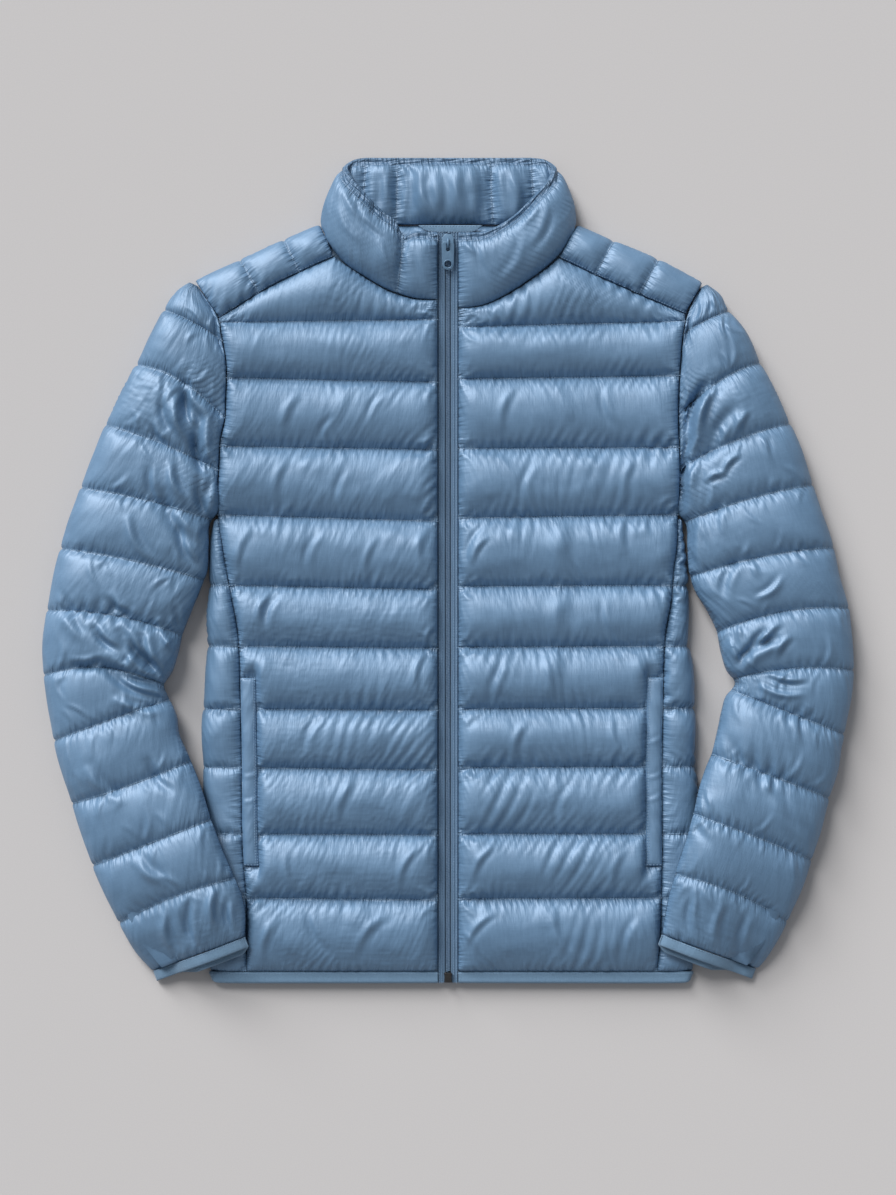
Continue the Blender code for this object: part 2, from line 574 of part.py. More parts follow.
def sleeve_station(side, line, place, rise):
    lines = SLEEVE_LINES[side]
    row = between(lines, line, place)
    inner_line = sleeve_inner_line(side)
    outer_end = (side * out_at(SLEEVE_OUTER[side], row.outer), row.outer)
    inner_end = (side * out_at(inner_line, row.inner), row.inner)
    if line < len(lines) - 1:
        spacing = lines[line].inner - lines[line + 1].inner
        rise *= mix(1.0, min(1.0, spacing / SLEEVE_FULL_LOFT), 0.5)
    return sleeve_rings(side, row, rise, outer_end, inner_end)


def make_sleeve(side, collection, material):
    outer = []
    inner = []
    for line, place, rise in channel_rows(len(SLEEVE_LINES[side])):
        ring, lining = sleeve_station(side, line, place, rise)
        outer.append(ring)
        if place == 0.0 or line < SLEEVE_ARMPIT_LINE:
            inner.append(lining)
    make_wall("sleeve_" + SIDE_NAMES[side], outer, inner, collection, material)


def make_cuff(side, collection, material):
    """The binding of a cuff: a flattened ring that goes on from the sleeve's last line."""
    last = SLEEVE_LINES[side][-1]
    outer_end = Vector((side * out_at(SLEEVE_OUTER[side], last.outer), last.outer))
    inner_end = Vector((side * out_at(sleeve_inner_line(side), last.inner), last.inner))
    across = (inner_end - outer_end).normalized()
    down = Vector((across.y, -across.x)) * side
    if down.y > 0:
        down = -down
    outer = []
    inner = []
    for far in (SEAM_GAP, CUFF_WIDTH / 2, CUFF_WIDTH):
        shift = down * far
        ring, lining = sleeve_rings(side, last, 0.0, outer_end + shift, inner_end + shift)
        outer.append(ring)
        inner.append(lining)
    make_wall("cuff_binding_" + SIDE_NAMES[side], outer, inner, collection, material)


def band_rings(side, row, profile, levels):
    """Outer and inner points across a band, from its lower to its upper edge."""
    turn = math.radians(row.turn)
    outer = []
    inner = []
    for place, share in profile:
        x = side * mix(row.low[0], row.high[0], place)
        y = mix(row.low[1], row.high[1], place)
        front = mix(levels.front_low, levels.front_high, place)
        middle = (front + levels.back) / 2
        z = middle + (front - levels.back) / 2 * math.cos(turn)
        normal = (side * math.sin(turn), math.cos(turn))
        far = levels.wall / 2 + row.outside * share
        near = levels.wall / 2 + row.inside * share
        outer.append((x + normal[0] * far, y, max(0.0, z + normal[1] * far)))
        inner.append((x - normal[0] * near, y, max(0.0, z - normal[1] * near)))
    return outer, inner


def make_band(name, lines, profile, levels, collection, material):
    """A band from one zip edge round the back to the other."""
    pairs = [band_rings(LEFT, row, profile, levels) for row in lines[LEFT]]
    pairs += [band_rings(RIGHT, row, profile, levels) for row in reversed(lines[RIGHT])]
    outer = [pair[0] for pair in pairs]
    inner = [pair[1] for pair in pairs]
    make_wall(name, outer, inner, collection, material)


def zip_level(y):
    ys, heights = zip(*ZIP_PATH)
    return float(np.interp(y, ys, heights))


def make_tape(side, collection, material):
    low = []
    high = []
    for y, z in ZIP_PATH:
        ends = (side * TAPE_INNER, side * TAPE_OUTER)
        low.append([(x, y, z) for x in ends])
        high.append([(x, y, z + TAPE_THICKNESS) for x in ends])
    make_wall("zip_tape_" + SIDE_NAMES[side], high, low, collection, material)


def mesh_of(obj):
    """The object's evaluated shape as a plain mesh, in world space with its caps welded."""
    graph = bpy.context.evaluated_depsgraph_get()
    graph.update()
    mesh = bpy.data.meshes.new_from_object(obj.evaluated_get(graph))
    mesh.transform(obj.matrix_world)
    bm = bmesh.new()
    bm.from_mesh(mesh)
    bmesh.ops.remove_doubles(bm, verts=bm.verts, dist=0.00002)
    bmesh.ops.recalc_face_normals(bm, faces=bm.faces)
    bm.to_mesh(mesh)
    bm.free()
    return mesh


def make_tube(name, points, radius, collection):
    """A round wire through these points, as a curve with filled caps."""
    curve = bpy.data.curves.new(name, "CURVE")
    curve.dimensions = "3D"
    curve.bevel_depth = radius * MM
    curve.bevel_resolution = 2
    curve.use_fill_caps = True
    spline = curve.splines.new("POLY")
    spline.points.add(len(points) - 1)
    for point, place in zip(spline.points, points):
        point.co = (*(Vector(place) * MM), 1.0)
    obj = bpy.data.objects.new(name, curve)
    collection.objects.link(obj)
    return obj


def make_plate(name, loops, thickness, collection):
    """A flat piece of this thickness: its outline, then its holes, in the plane of x and y."""
    curve = bpy.data.curves.new(name, "CURVE")
    curve.dimensions = "2D"
    curve.fill_mode = "BOTH"
    curve.extrude = thickness / 2 * MM
    for loop in loops:
        spline = curve.splines.new("POLY")
        spline.points.add(len(loop) - 1)
        spline.use_cyclic_u = True
        for point, (x, y) in zip(spline.points, loop):
            point.co = (x * MM, y * MM, 0.0, 1.0)
    obj = bpy.data.objects.new(name, curve)
    collection.objects.link(obj)
    return obj


def to_mesh_object(obj, collection, material):
    """Puts a plain mesh in the place of a curve object, under its name."""
    name = obj.name
    mesh = mesh_of(obj)
    bpy.data.objects.remove(obj, do_unlink=True)
    mesh.name = name
    mesh.materials.clear()
    return add_object(name, mesh, collection, material)


def arc(centre, radius, start, end, count):
    """Points on an arc, from one angle in degrees to another."""
    angles = [math.radians(mix(start, end, k / count)) for k in range(count + 1)]
    return [(centre[0] + radius * math.cos(a), centre[1] + radius * math.sin(a)) for a in angles]


def make_coil(collection, material):
    """The closed coil, as one flattened rod between the tapes."""
    points = [(0, y, z + COIL_RADIUS * COIL_FLATNESS) for y, z in ZIP_PATH if y > COIL_END]
    points.insert(0, (0, COIL_END, zip_level(COIL_END) + COIL_RADIUS * COIL_FLATNESS))
    rod = to_mesh_object(make_tube("zip_coil", points, COIL_RADIUS, collection), collection, material)
    bm = bmesh.new()
    bm.from_mesh(rod.data)
    for vert in bm.verts:
        middle = zip_level(vert.co.y / MM) + COIL_RADIUS * COIL_FLATNESS
        vert.co.z = (middle + (vert.co.z / MM - middle) * COIL_FLATNESS) * MM
    bm.to_mesh(rod.data)
    bm.free()


def make_stop(collection, material):
    """The bottom stop, across both tapes at the end of the coil."""
    width, length, height = STOP_SIZE
    y = COIL_END - STOP_GAP - length / 2
    low = zip_level(COIL_END) + TAPE_THICKNESS + SEAM_GAP
    bpy.ops.mesh.primitive_cube_add(size=1.0, location=(0.0, y * MM, (low + height / 2) * MM))
    stop = bpy.context.object
    stop.name = "zip_stop"
    stop.data.transform(Matrix.Diagonal((width * MM, length * MM, height * MM, 1.0)))
    stop.data.materials.append(material)
    for owner in stop.users_collection:
        owner.objects.unlink(stop)
    collection.objects.link(stop)
    rounding = stop.modifiers.new("rounding", "BEVEL")
    rounding.width = STOP_ROUNDING * MM
    rounding.segments = 2


def slider_base():
    """Height of the slider's underside, just above the coil."""
    return zip_level(SLIDER_Y + SLIDER_ABOVE) + 2 * COIL_RADIUS * COIL_FLATNESS + SEAM_GAP


def pull_axis():
    """Height of the pull's axis, under the bail."""
    return slider_base() + SLIDER_THICKNESS + SEAM_GAP + math.hypot(PULL_BAR, PULL_THICKNESS) / 2


def make_slider(collection, cutters, material):
    """The slider's plate with its bail joined on."""
    half = SLIDER_WIDTH / 2
    low = SLIDER_Y - SLIDER_BELOW
    high = SLIDER_Y + SLIDER_ABOVE
    nose, nose_end = SLIDER_NOSE
    tail, tail_end = SLIDER_TAIL
    flank = [(half * nose, low), (half, low + nose_end), (half, high - tail_end), (half * tail, high)]
    outline = flank + [(-x, y) for x, y in reversed(flank)]
    plate = make_plate("zip_slider", [outline], SLIDER_THICKNESS, collection)
    plate.location.z = (slider_base() + SLIDER_THICKNESS / 2) * MM
    bpy.context.view_layer.update()
    plate = to_mesh_object(plate, collection, material)
    foot = slider_base() + SLIDER_THICKNESS / 2
    ring = arc((0.0, 0.0), 1.0, 180, 0, 8)
    top = slider_base() + SLIDER_THICKNESS + BAIL_RISE - BAIL_RADIUS
    shoulder = mix(foot, top, BAIL_SHOULDER)
    path = [(0, SLIDER_Y - BAIL_SPAN / 2, foot)]
    path += [(0, SLIDER_Y + c * BAIL_SPAN / 2, shoulder + s * (top - shoulder)) for c, s in ring]
    path += [(0, SLIDER_Y + BAIL_SPAN / 2, foot)]
    bail = to_mesh_object(make_tube("bail", path, BAIL_RADIUS, cutters), cutters, material)
    bail.hide_render = True
    bail.display_type = "WIRE"
    join = plate.modifiers.new("bail", "BOOLEAN")
    join.operation = "UNION"
    join.object = bail


def make_pull(collection, material):
    """The pull tab, lying on the lower end of the slider and turning on its bar under the bail."""
    bar = PULL_BAR / 2
    half = PULL_WIDTH / 2
    tip = -PULL_LENGTH
    share, full = PULL_TOP
    round_end = half * PULL_TAPER
    outline = [(-half * share, bar), (half * share, bar), (half, -full), (round_end, tip + half)]
    outline += arc((0, tip + round_end), round_end, 0, -180, 10)[1:]
    outline += [(-half, -full)]
    width, length = PULL_SLOT
    slot = [(-width / 2, -bar), (width / 2, -bar), (width / 2, -length), (-width / 2, -length)]
    eyelet = arc((0, tip + round_end), EYELET_RADIUS, 0, 330, 11)
    pull = make_plate("zip_pull", [outline, slot, eyelet], PULL_THICKNESS, collection)
    drop = pull_axis() - PULL_THICKNESS / 2 - slider_base() - SLIDER_THICKNESS - SEAM_GAP
    lean = math.atan(drop / SLIDER_BELOW)
    place = Matrix.Translation(Vector((0, SLIDER_Y, pull_axis())) * MM)
    pull.matrix_world = place @ Matrix.Rotation(lean, 4, "X")
    bpy.context.view_layer.update()
    to_mesh_object(pull, collection, material)


def make_hanger_loop(collection, material):
    """The loop of tape sewn flat inside the back neck."""
    loop = make_plate("hanger_loop", [LOOP_OUTLINE], LOOP_THICKNESS, collection)
    loop.location.z = (LINING + SEAM_GAP + LOOP_THICKNESS / 2) * MM
    bpy.context.view_layer.update()
    to_mesh_object(loop, collection, material)


def build():
    clear_scene()
    jacket = make_collection("puffer_jacket")
    cutters = make_collection("cutters")
    shell = make_material("shell_nylon", SHELL_BLUE, 0.38)
    binding = make_material("binding_knit", BINDING_BLUE, 0.8)
    tape = make_material("zip_tape_weave", ZIP_BLUE, 0.75)
    coil = make_material("zip_coil_nylon", ZIP_BLUE, 0.45)
    painted = make_material("painted_metal", PULL_BLUE, 0.4, 0.3)
    dark = make_material("dark_metal", METAL_DARK, 0.35, 0.8)
    make_back(jacket, shell)
    for side in (LEFT, RIGHT):
        make_front(side, jacket, shell)
        make_yoke(side, jacket, shell)
        make_side(side, jacket, shell)
        make_sleeve(side, jacket, shell)
        make_cuff(side, jacket, binding)
        make_welt(side, jacket, shell)
        make_tape(side, jacket, tape)
    make_band("collar", COLLAR_LINES, COLLAR_PROFILE, COLLAR_LEVELS, jacket, shell)
    make_band("hem_binding", HEM_LINES, HEM_PROFILE, HEM_LEVELS, jacket, binding)
    make_coil(jacket, coil)
    make_stop(jacket, dark)
    make_slider(jacket, cutters, painted)
    make_pull(jacket, painted)
    make_hanger_loop(jacket, binding)


build()
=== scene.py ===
import math

import bmesh
import bpy
import numpy as np
from mathutils import Matrix, Vector


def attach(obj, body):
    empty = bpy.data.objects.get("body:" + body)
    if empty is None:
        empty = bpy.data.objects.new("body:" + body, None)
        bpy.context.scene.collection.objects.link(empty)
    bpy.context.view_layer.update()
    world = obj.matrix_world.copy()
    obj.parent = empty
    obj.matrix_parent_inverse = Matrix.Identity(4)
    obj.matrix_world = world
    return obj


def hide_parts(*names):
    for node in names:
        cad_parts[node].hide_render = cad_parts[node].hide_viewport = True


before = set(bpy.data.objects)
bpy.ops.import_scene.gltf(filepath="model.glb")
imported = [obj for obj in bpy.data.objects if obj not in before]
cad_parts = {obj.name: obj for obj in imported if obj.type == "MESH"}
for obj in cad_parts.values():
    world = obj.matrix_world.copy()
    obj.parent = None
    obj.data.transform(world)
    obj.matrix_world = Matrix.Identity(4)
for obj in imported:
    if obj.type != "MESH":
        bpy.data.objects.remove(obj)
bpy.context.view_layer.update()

# ---------------------------------------------------------------- table, light and camera
# The jacket lies on a pale table and is looked at from straight above through a long lens. Two broad,
# distant lights stand above its collar and a little to the left, one of them low, and an even, cool
# sky fills the shadows.

MM = 0.001
VIEW_HEIGHT = 1.0994  # metres of table from the top to the bottom of the view
VIEW_CENTRE = (0.0, -0.0251)
LENS = 110.0
SENSOR = 36.0
LOOKED_AT = 0.022  # height of the plane that the view is sized at
TABLE_REACH = 6.0
TABLE_DROP = 0.0004  # keeps the table's face clear of the jacket's flat underside

camera_data = bpy.data.cameras.new("camera")
camera_data.lens = LENS
camera_data.sensor_width = SENSOR
camera_data.clip_end = 20.0
camera = bpy.data.objects.new("camera", camera_data)
camera.location = (*VIEW_CENTRE, LOOKED_AT + VIEW_HEIGHT * LENS / SENSOR)
bpy.context.scene.collection.objects.link(camera)
bpy.context.scene.camera = camera
bpy.context.scene.view_settings.view_transform = "Standard"


def node(tree, kind, values=None, **settings):
    """Adds a node with these settings. Its sockets take numbers, or the sockets that feed them."""
    made = tree.nodes.new(kind)
    for key, value in settings.items():
        setattr(made, key, value)
    for socket, value in (values or {}).items():
        if isinstance(value, bpy.types.NodeSocket):
            tree.links.new(value, made.inputs[socket])
        else:
            made.inputs[socket].default_value = value
    return made


def new_material(name, roughness, metallic=0.0):
    """A material, its node tree and its shader."""
    material = bpy.data.materials.new(name)
    material.use_nodes = True
    shader = material.node_tree.nodes["Principled BSDF"]
    shader.inputs["Roughness"].default_value = roughness
    shader.inputs["Metallic"].default_value = metallic
    return material, material.node_tree, shader


def make_table_paint():
    material, tree, shader = new_material("table_paint", 0.9)
    place = node(tree, "ShaderNodeTexCoord").outputs["Object"]
    grain = node(tree, "ShaderNodeTexNoise", {"Vector": place, "Scale": 900.0, "Detail": 2.0})
    values = {"Value": grain.outputs["Fac"], "To Min": 0.94, "To Max": 1.06}
    ramp = node(tree, "ShaderNodeMapRange", values)
    values = {"Factor": 1.0, "B": (0.54, 0.522, 0.517, 1.0)}
    tint = node(tree, "ShaderNodeMix", values, data_type="RGBA", blend_type="MULTIPLY")
    tree.links.new(ramp.outputs["Result"], tint.inputs["A"])
    tree.links.new(tint.outputs["Result"], shader.inputs["Base Color"])
    return material


table_mesh = bpy.data.meshes.new("table")
table_corners = [(x * TABLE_REACH, y * TABLE_REACH, 0) for x, y in ((-1, -1), (1, -1), (1, 1), (-1, 1))]
table_mesh.from_pydata(table_corners, [], [(0, 1, 2, 3)])
table_mesh.materials.append(make_table_paint())
table = bpy.data.objects.new("table", table_mesh)
table.location.z = -TABLE_DROP
bpy.context.scene.collection.objects.link(table)

world = bpy.data.worlds.new("studio")
world.use_nodes = True
sky = world.node_tree.nodes["Background"].inputs
sky["Color"].default_value = (0.92, 0.95, 1.0, 1.0)
sky["Strength"].default_value = 0.34
bpy.context.scene.world = world


def add_light(name, place, power, spread):
    """A distant soft light from the direction of this place, as wide in the sky as its spread."""
    light = bpy.data.lights.new(name, "SUN")
    light.energy = power
    light.angle = math.radians(spread)
    lamp = bpy.data.objects.new(name, light)
    lamp.location = place
    lamp.rotation_euler = Vector(place).to_track_quat("Z", "Y").to_euler()
    bpy.context.scene.collection.objects.link(lamp)


add_light("key", (-0.45, 0.8, 0.95), 1.8, 24.0)
add_light("low", (-0.6, 0.95, 0.48), 2.5, 24.0)

# ---------------------------------------------------------------- fronts
# Two layers of thin downproof nylon with down between them, stitched through in level lines about
# 60 mm apart. The channels swell between the lines, and the cloth, cut longer than the lines draw
# it in to, puckers along every seam.

LEFT = -1
RIGHT = 1
SIDE_NAMES = {LEFT: "left", RIGHT: "right"}
GRAIN = 1.9  # spacing of the points of a cloth grid, in mm like all tables
SEAM_GAP = 0.3
LINING = 13.2  # height of the fronts' underside, just above the back
SEAM_HEIGHT = 18.2
LOFT = 11.0
FRONT_WIDTH = 198.0  # about a front's width, for what fades away from its edges
ZIP_EDGE = 9.6
SEAM_FADE = 22.0  # how far from the side seam, and from the zip, a channel takes to fill
ZIP_FADE = 20.0
WELT_WIDTH = 16.0

SIDE_SEAM = {
    LEFT: ((-370, 186), (-303, 186), (-257, 189), (-175, 190), (-119, 191), (-83, 192), (-55, 194),
           (-27, 199), (0, 204), (23, 208), (51, 212)),
    RIGHT: ((-370, 193), (-349, 195), (-285, 197), (-175, 197), (-119, 198), (-83, 199), (-55, 201),
            (-27, 206), (0, 208), (23, 211), (51, 212)),
}
ARMHOLE = {
    LEFT: ((51, 212), (83, 211), (101, 210), (120, 209), (138, 205), (157, 204), (193, 204), (216, 208),
           (232, 211), (241, 216), (253, 224), (269, 235)),
    RIGHT: ((51, 212), (74, 213), (101, 213), (129, 212), (157, 212), (193, 214), (216, 216), (235, 220),
            (251, 227), (267, 236)),
}
# Lines of stitching from the hem up: y at the side seam, y at the zip
FRONT_LINES = {
    LEFT: ((-370, -370), (-302, -304), (-243, -244), (-182, -184), (-128, -129), (-70, -72), (-14, -18),
           (51, 45), (114, 111), (177, 173), (228, 231)),
    RIGHT: ((-370, -370), (-302, -303), (-243, -243), (-181, -182), (-127, -128), (-70, -71), (-14, -15),
            (51, 48), (113, 112), (179, 176), (229, 224)),
}
YOKE_SEAM = {
    LEFT: ((211, 232), (192, 244), (173, 256), (136, 275), (105, 289)),
    RIGHT: ((218, 236), (199, 244), (176, 254), (140, 270), (102, 288)),
}
COLLAR_SEAM = {
    LEFT: ((105, 289), (80, 272), (54, 257), (32, 250.3), (9.6, 249)),
    RIGHT: ((102, 288), (80, 270.5), (56, 254.8), (32, 244), (9.6, 241)),
}
YOKE_SHARE = 0.5  # share of a front's width under the yoke seam, the rest being under the collar
TOP_ROWS = 24  # rows of points above the highest line of stitching
WELT_ROWS = (1.5, 4.5)  # the welt's ends, as line of stitching and share of the channel above it


def eased(xs, ys, x):
    """A smooth curve through the points (xs, ys), read at x."""
    xs = np.asarray(xs, float)
    ys = np.asarray(ys, float)
    x = np.clip(x, xs[0], xs[-1])
    slopes = np.gradient(ys, xs)
    k = np.clip(np.searchsorted(xs, x) - 1, 0, len(xs) - 2)
    step = xs[k + 1] - xs[k]
    t = (x - xs[k]) / step
    start = (2 * t**3 - 3 * t**2 + 1) * ys[k] + (t**3 - 2 * t**2 + t) * step * slopes[k]
    return start + (3 * t**2 - 2 * t**3) * ys[k + 1] + (t**3 - t**2) * step * slopes[k + 1]


def chain(points, share):
    """Points at these shares of the way along a smooth chain of points."""
    points = np.asarray(points, float)
    at = np.concatenate([[0], np.cumsum(np.linalg.norm(np.diff(points, axis=0), axis=1))])
    share = np.asarray(share) * at[-1]
    return np.stack([eased(at, points[:, axis], share) for axis in range(points.shape[1])], axis=-1)


def mottle(rng, height, width, long, wide):
    """Smooth random values about 0, with this many grid points from bump to bump each way."""
    weights = []
    for count, cell in ((height, long), (width, wide)):
        coarse = max(3, int(count / cell) + 3)
        at = np.linspace(0, count / cell, count) + rng.random()
        low = np.minimum(at.astype(int), coarse - 2)
        part = np.clip(at - low, 0, 1)
        part = part * part * (3 - 2 * part)
        table_of = np.zeros((count, coarse))
        table_of[np.arange(count), low] = 1 - part
        table_of[np.arange(count), low + 1] = part
        weights.append(table_of)
    coarse = rng.normal(size=(weights[0].shape[1], weights[1].shape[1]))
    return weights[0] @ coarse @ weights[1].T


def pair(grid, rows, columns):
    """Two views of a grid, the second shifted by this many rows and columns."""
    height, width = grid.shape[:2]
    left = max(0, -columns)
    right = max(0, columns)
    return grid[: height - rows, left : width - right], grid[rows:, right : width - left]


def face_out(grid):
    """Unit normals of a grid of points."""
    along = np.gradient(grid, axis=1)
    across = np.gradient(grid, axis=0)
    normal = np.cross(along, across)
    return normal / np.maximum(np.linalg.norm(normal, axis=-1, keepdims=True), 1e-9)


def refine(grid):
    """The grid with a point added between each two, on smooth curves through them."""
    for axis in (0, 1):
        grid = np.moveaxis(grid, axis, 0)
        ahead = np.concatenate([grid[2:], 2 * grid[-1:] - grid[-2:-1]])
        behind = np.concatenate([2 * grid[:1] - grid[1:2], grid[:-2]])
        middle = (9 * (grid[:-1] + grid[1:]) - behind - ahead) / 16
        finer = np.empty((2 * len(grid) - 1,) + grid.shape[1:], grid.dtype)
        finer[0::2] = grid
        finer[1::2] = middle
        grid = np.moveaxis(finer, 0, axis)
    return grid


# Threads between grid points: rows and columns apart, and how firmly they pull
LINKS = ((0, 1, 0.3), (1, 0, 0.3), (1, 1, 0.16), (1, -1, 0.16), (0, 2, 0.1), (2, 0, 0.1), (0, 4, 0.03),
         (4, 0, 0.04))
MOST_LIFT = 9.0  # how far cloth may settle from the smooth form
MOST_PULL = 0.8  # how far its threads may move a point in one step, and its own speed
MOST_SPEED = 0.6


def settle(shape, start, held, along, across, lean, steps, push, hold, drag=0.88):
    """Lets the cloth over a panel's filling settle. Shape is the smooth form. The cloth is cut longer
    than it by the shares along (its rows) and across, and leans; held points are sewn down."""
    shape = shape.astype(np.float32)
    loose = (1.0 - held).astype(np.float32)[..., None]
    links = []
    for rows, columns, pull in LINKS:
        first, second = pair(shape, rows, columns)
        length = np.linalg.norm(second - first, axis=-1)
        cut_along = pair(along, rows, columns)[0]
        cut_across = pair(across, rows, columns)[0]
        if rows and columns:
            cut = np.sqrt((cut_along**2 + cut_across**2) / 2) + columns * pair(lean, rows, columns)[0]
        else:
            cut = cut_along if columns else cut_across
        links.append((rows, columns, (length * cut).astype(np.float32)[..., None], np.float32(pull)))
    out = facing(shape)
    place = start.astype(np.float32)
    speed = np.zeros_like(place)
    for step in range(steps):
        if step % 8 == 0:
            normal = (face_out(place) * out).astype(np.float32)
        force = (normal * np.float32(push) + (shape - place) * np.float32(hold)) * loose
        new = place + speed * np.float32(drag) + force
        for _ in range(2):
            move = np.zeros_like(new)
            for rows, columns, cut, pull in links:
                first, second = pair(new, rows, columns)
                gap = second - first
                length = np.sqrt((gap * gap).sum(-1, keepdims=True)) + np.float32(1e-6)
                gap *= pull * (1.0 - cut / length)
                ends = pair(move, rows, columns)
                ends[0][...] += gap
                ends[1][...] -= gap
            new += np.clip(move, -MOST_PULL, MOST_PULL) * loose
        speed = np.clip(new - place, -MOST_SPEED, MOST_SPEED)
        place = shape + np.clip(new - shape, -MOST_LIFT, MOST_LIFT)
    return place


def facing(grid):
    """1 where face_out points out of the panel, or -1, judged on its highest part."""
    highest = grid[..., 2] > 0.75 * grid[..., 2].max()
    return float(np.sign(face_out(grid)[highest][:, 2].sum()))


def puff(shape, sewn, seed, gather=0.026, pucker=0.12, edge_pucker=0.13, reach=5.0, slant=0.05,
         tilt=0.0):
    """Settles the cloth of a quilted panel, first its broad folds and then its fine puckers. It is cut
    longer by about gather in patches, by pucker beside its sewn rows and by edge_pucker beside its sewn
    columns, fading over reach. Slant leans its threads unevenly, and tilt all one way."""
    rng = np.random.default_rng(seed)
    height, width = sewn.shape
    row_far, column_far = sewn_distance(shape, sewn)
    sewn = np.maximum(sewn, squeezed(shape))
    patches = np.clip(0.2 + 1.3 * mottle(rng, height, width, 22, 16), 0.0, 3.2)
    stitched = np.clip(1.0 + 0.6 * mottle(rng, height, width, 14, 9), 0.1, 2.6)
    along = 1.0 + gather * patches
    across = 0.997 + 0.35 * gather * patches
    lean = tilt + slant * mottle(rng, height, width, 30, 22)
    folds = mottle(rng, height, width, 24, 8) + 0.8 * mottle(rng, height, width, 10, 3.0)
    start = shape + face_out(shape) * facing(shape) * ((1.0 - sewn) * 0.5 * folds)[..., None]
    half = [grid[::2, ::2] for grid in (shape, start, sewn, along, across, lean)]
    coarse = settle(*half, steps=90, push=0.05, hold=0.008)
    moved = refine(coarse - half[0]) * (1.0 - sewn)[..., None]
    along += pucker * np.exp(-row_far / reach) * stitched
    across += edge_pucker * np.exp(-column_far / reach) * stitched
    fine = mottle(rng, height, width, 6, 1.5) * np.exp(-row_far / 10.0)
    edge_start = min(0.6, 4.5 * edge_pucker)
    fine += edge_start * mottle(rng, height, width, 1.8, 6) * np.exp(-column_far / 7.0)
    start = shape + moved + face_out(shape) * facing(shape) * ((1.0 - sewn) * 0.4 * fine)[..., None]
    return settle(shape, start, sewn, along, across, lean, steps=45, push=0.03, hold=0.01)


def squeezed(shape):
    """1 where the points of a grid are too close together to fold, down to 0 where they aren't."""
    along = np.linalg.norm(np.gradient(shape, axis=1), axis=-1)
    across = np.linalg.norm(np.gradient(shape, axis=0), axis=-1)
    return np.clip((0.8 - np.minimum(along, across) / GRAIN) / 0.4, 0, 1)


def sewn_distance(shape, sewn):
    """How far each point of a grid is from a sewn one, along its column and along its row."""
    result = []
    for axis in (0, 1):
        grid = np.moveaxis(shape, axis, 0)
        held = np.moveaxis(sewn, axis, 0) > 0.99
        steps = np.linalg.norm(np.diff(grid, axis=0), axis=-1)
        far = np.where(held, 0.0, 1e3)
        for k in range(1, len(far)):
            far[k] = np.minimum(far[k], far[k - 1] + steps[k - 1])
        for k in range(len(far) - 2, -1, -1):
            far[k] = np.minimum(far[k], far[k + 1] + steps[k])
        result.append(np.moveaxis(far, 0, axis))
    return result


def length_of(points):
    """How long a chain of points is."""
    return float(np.linalg.norm(np.diff(points, axis=0), axis=1).sum())


def above_table(grid):
    """The grid with no point below the table's top."""
    grid = grid.copy()
    grid[..., 2] = np.maximum(grid[..., 2], 0.0)
    return grid


def sewn_down(grid, rows=0):
    """1 along the edges of a grid and along these rows, 0 elsewhere."""
    sewn = np.zeros(grid.shape[:2])
    sewn[rows] = 1.0
    sewn[[0, -1]] = 1.0
    sewn[:, [0, -1]] = 1.0
    return sewn


def zipped(points, first, second):
    """Triangles that close the strip between two chains of point numbers that run the same way."""
    faces = []
    i = 0
    j = 0
    while i < len(first) - 1 or j < len(second) - 1:
        if j < len(second) - 1:
            over = np.linalg.norm(points[first[i]] - points[second[j + 1]])
        if i < len(first) - 1 and (
            j == len(second) - 1 or np.linalg.norm(points[first[i + 1]] - points[second[j]]) <= over
        ):
            faces.append((int(first[i]), int(first[i + 1]), int(second[j])))
            i += 1
        else:
            faces.append((int(first[i]), int(second[j + 1]), int(second[j])))
            j += 1
    return faces


def cut_places(grid):
    """Where each point of a grid lies on the flat cloth, in metres along its rows and columns."""
    along = np.linalg.norm(np.diff(grid, axis=1), axis=-1).mean(axis=0)
    across = np.linalg.norm(np.diff(grid, axis=0), axis=-1).mean(axis=1)
    u = np.concatenate([[0], np.cumsum(along)])
    v = np.concatenate([[0], np.cumsum(across)])
    return np.stack(np.meshgrid(u, v), axis=-1).reshape(-1, 2) * MM


SHARP = 80  # degrees between two faces from which their edge isn't smoothed
FAR_FROM_SEAMS = 0.05  # metres beyond which the material no longer asks how far a seam is


def add_object(name, mesh, material):
    mesh.shade_smooth()
    mesh.set_sharp_from_angle(angle=math.radians(SHARP))
    mesh.materials.append(material)
    obj = bpy.data.objects.new(name, mesh)
    bpy.context.scene.collection.objects.link(obj)
    return obj


def turn_faces_out(mesh, weld=None):
    """Makes the faces of a closed mesh look outward, after points this close together are joined."""
    bm = bmesh.new()
    bm.from_mesh(mesh)
    if weld is not None:
        bmesh.ops.remove_doubles(bm, verts=bm.verts, dist=weld)
    bmesh.ops.recalc_face_normals(bm, faces=bm.faces)
    bm.to_mesh(mesh)
    bm.free()


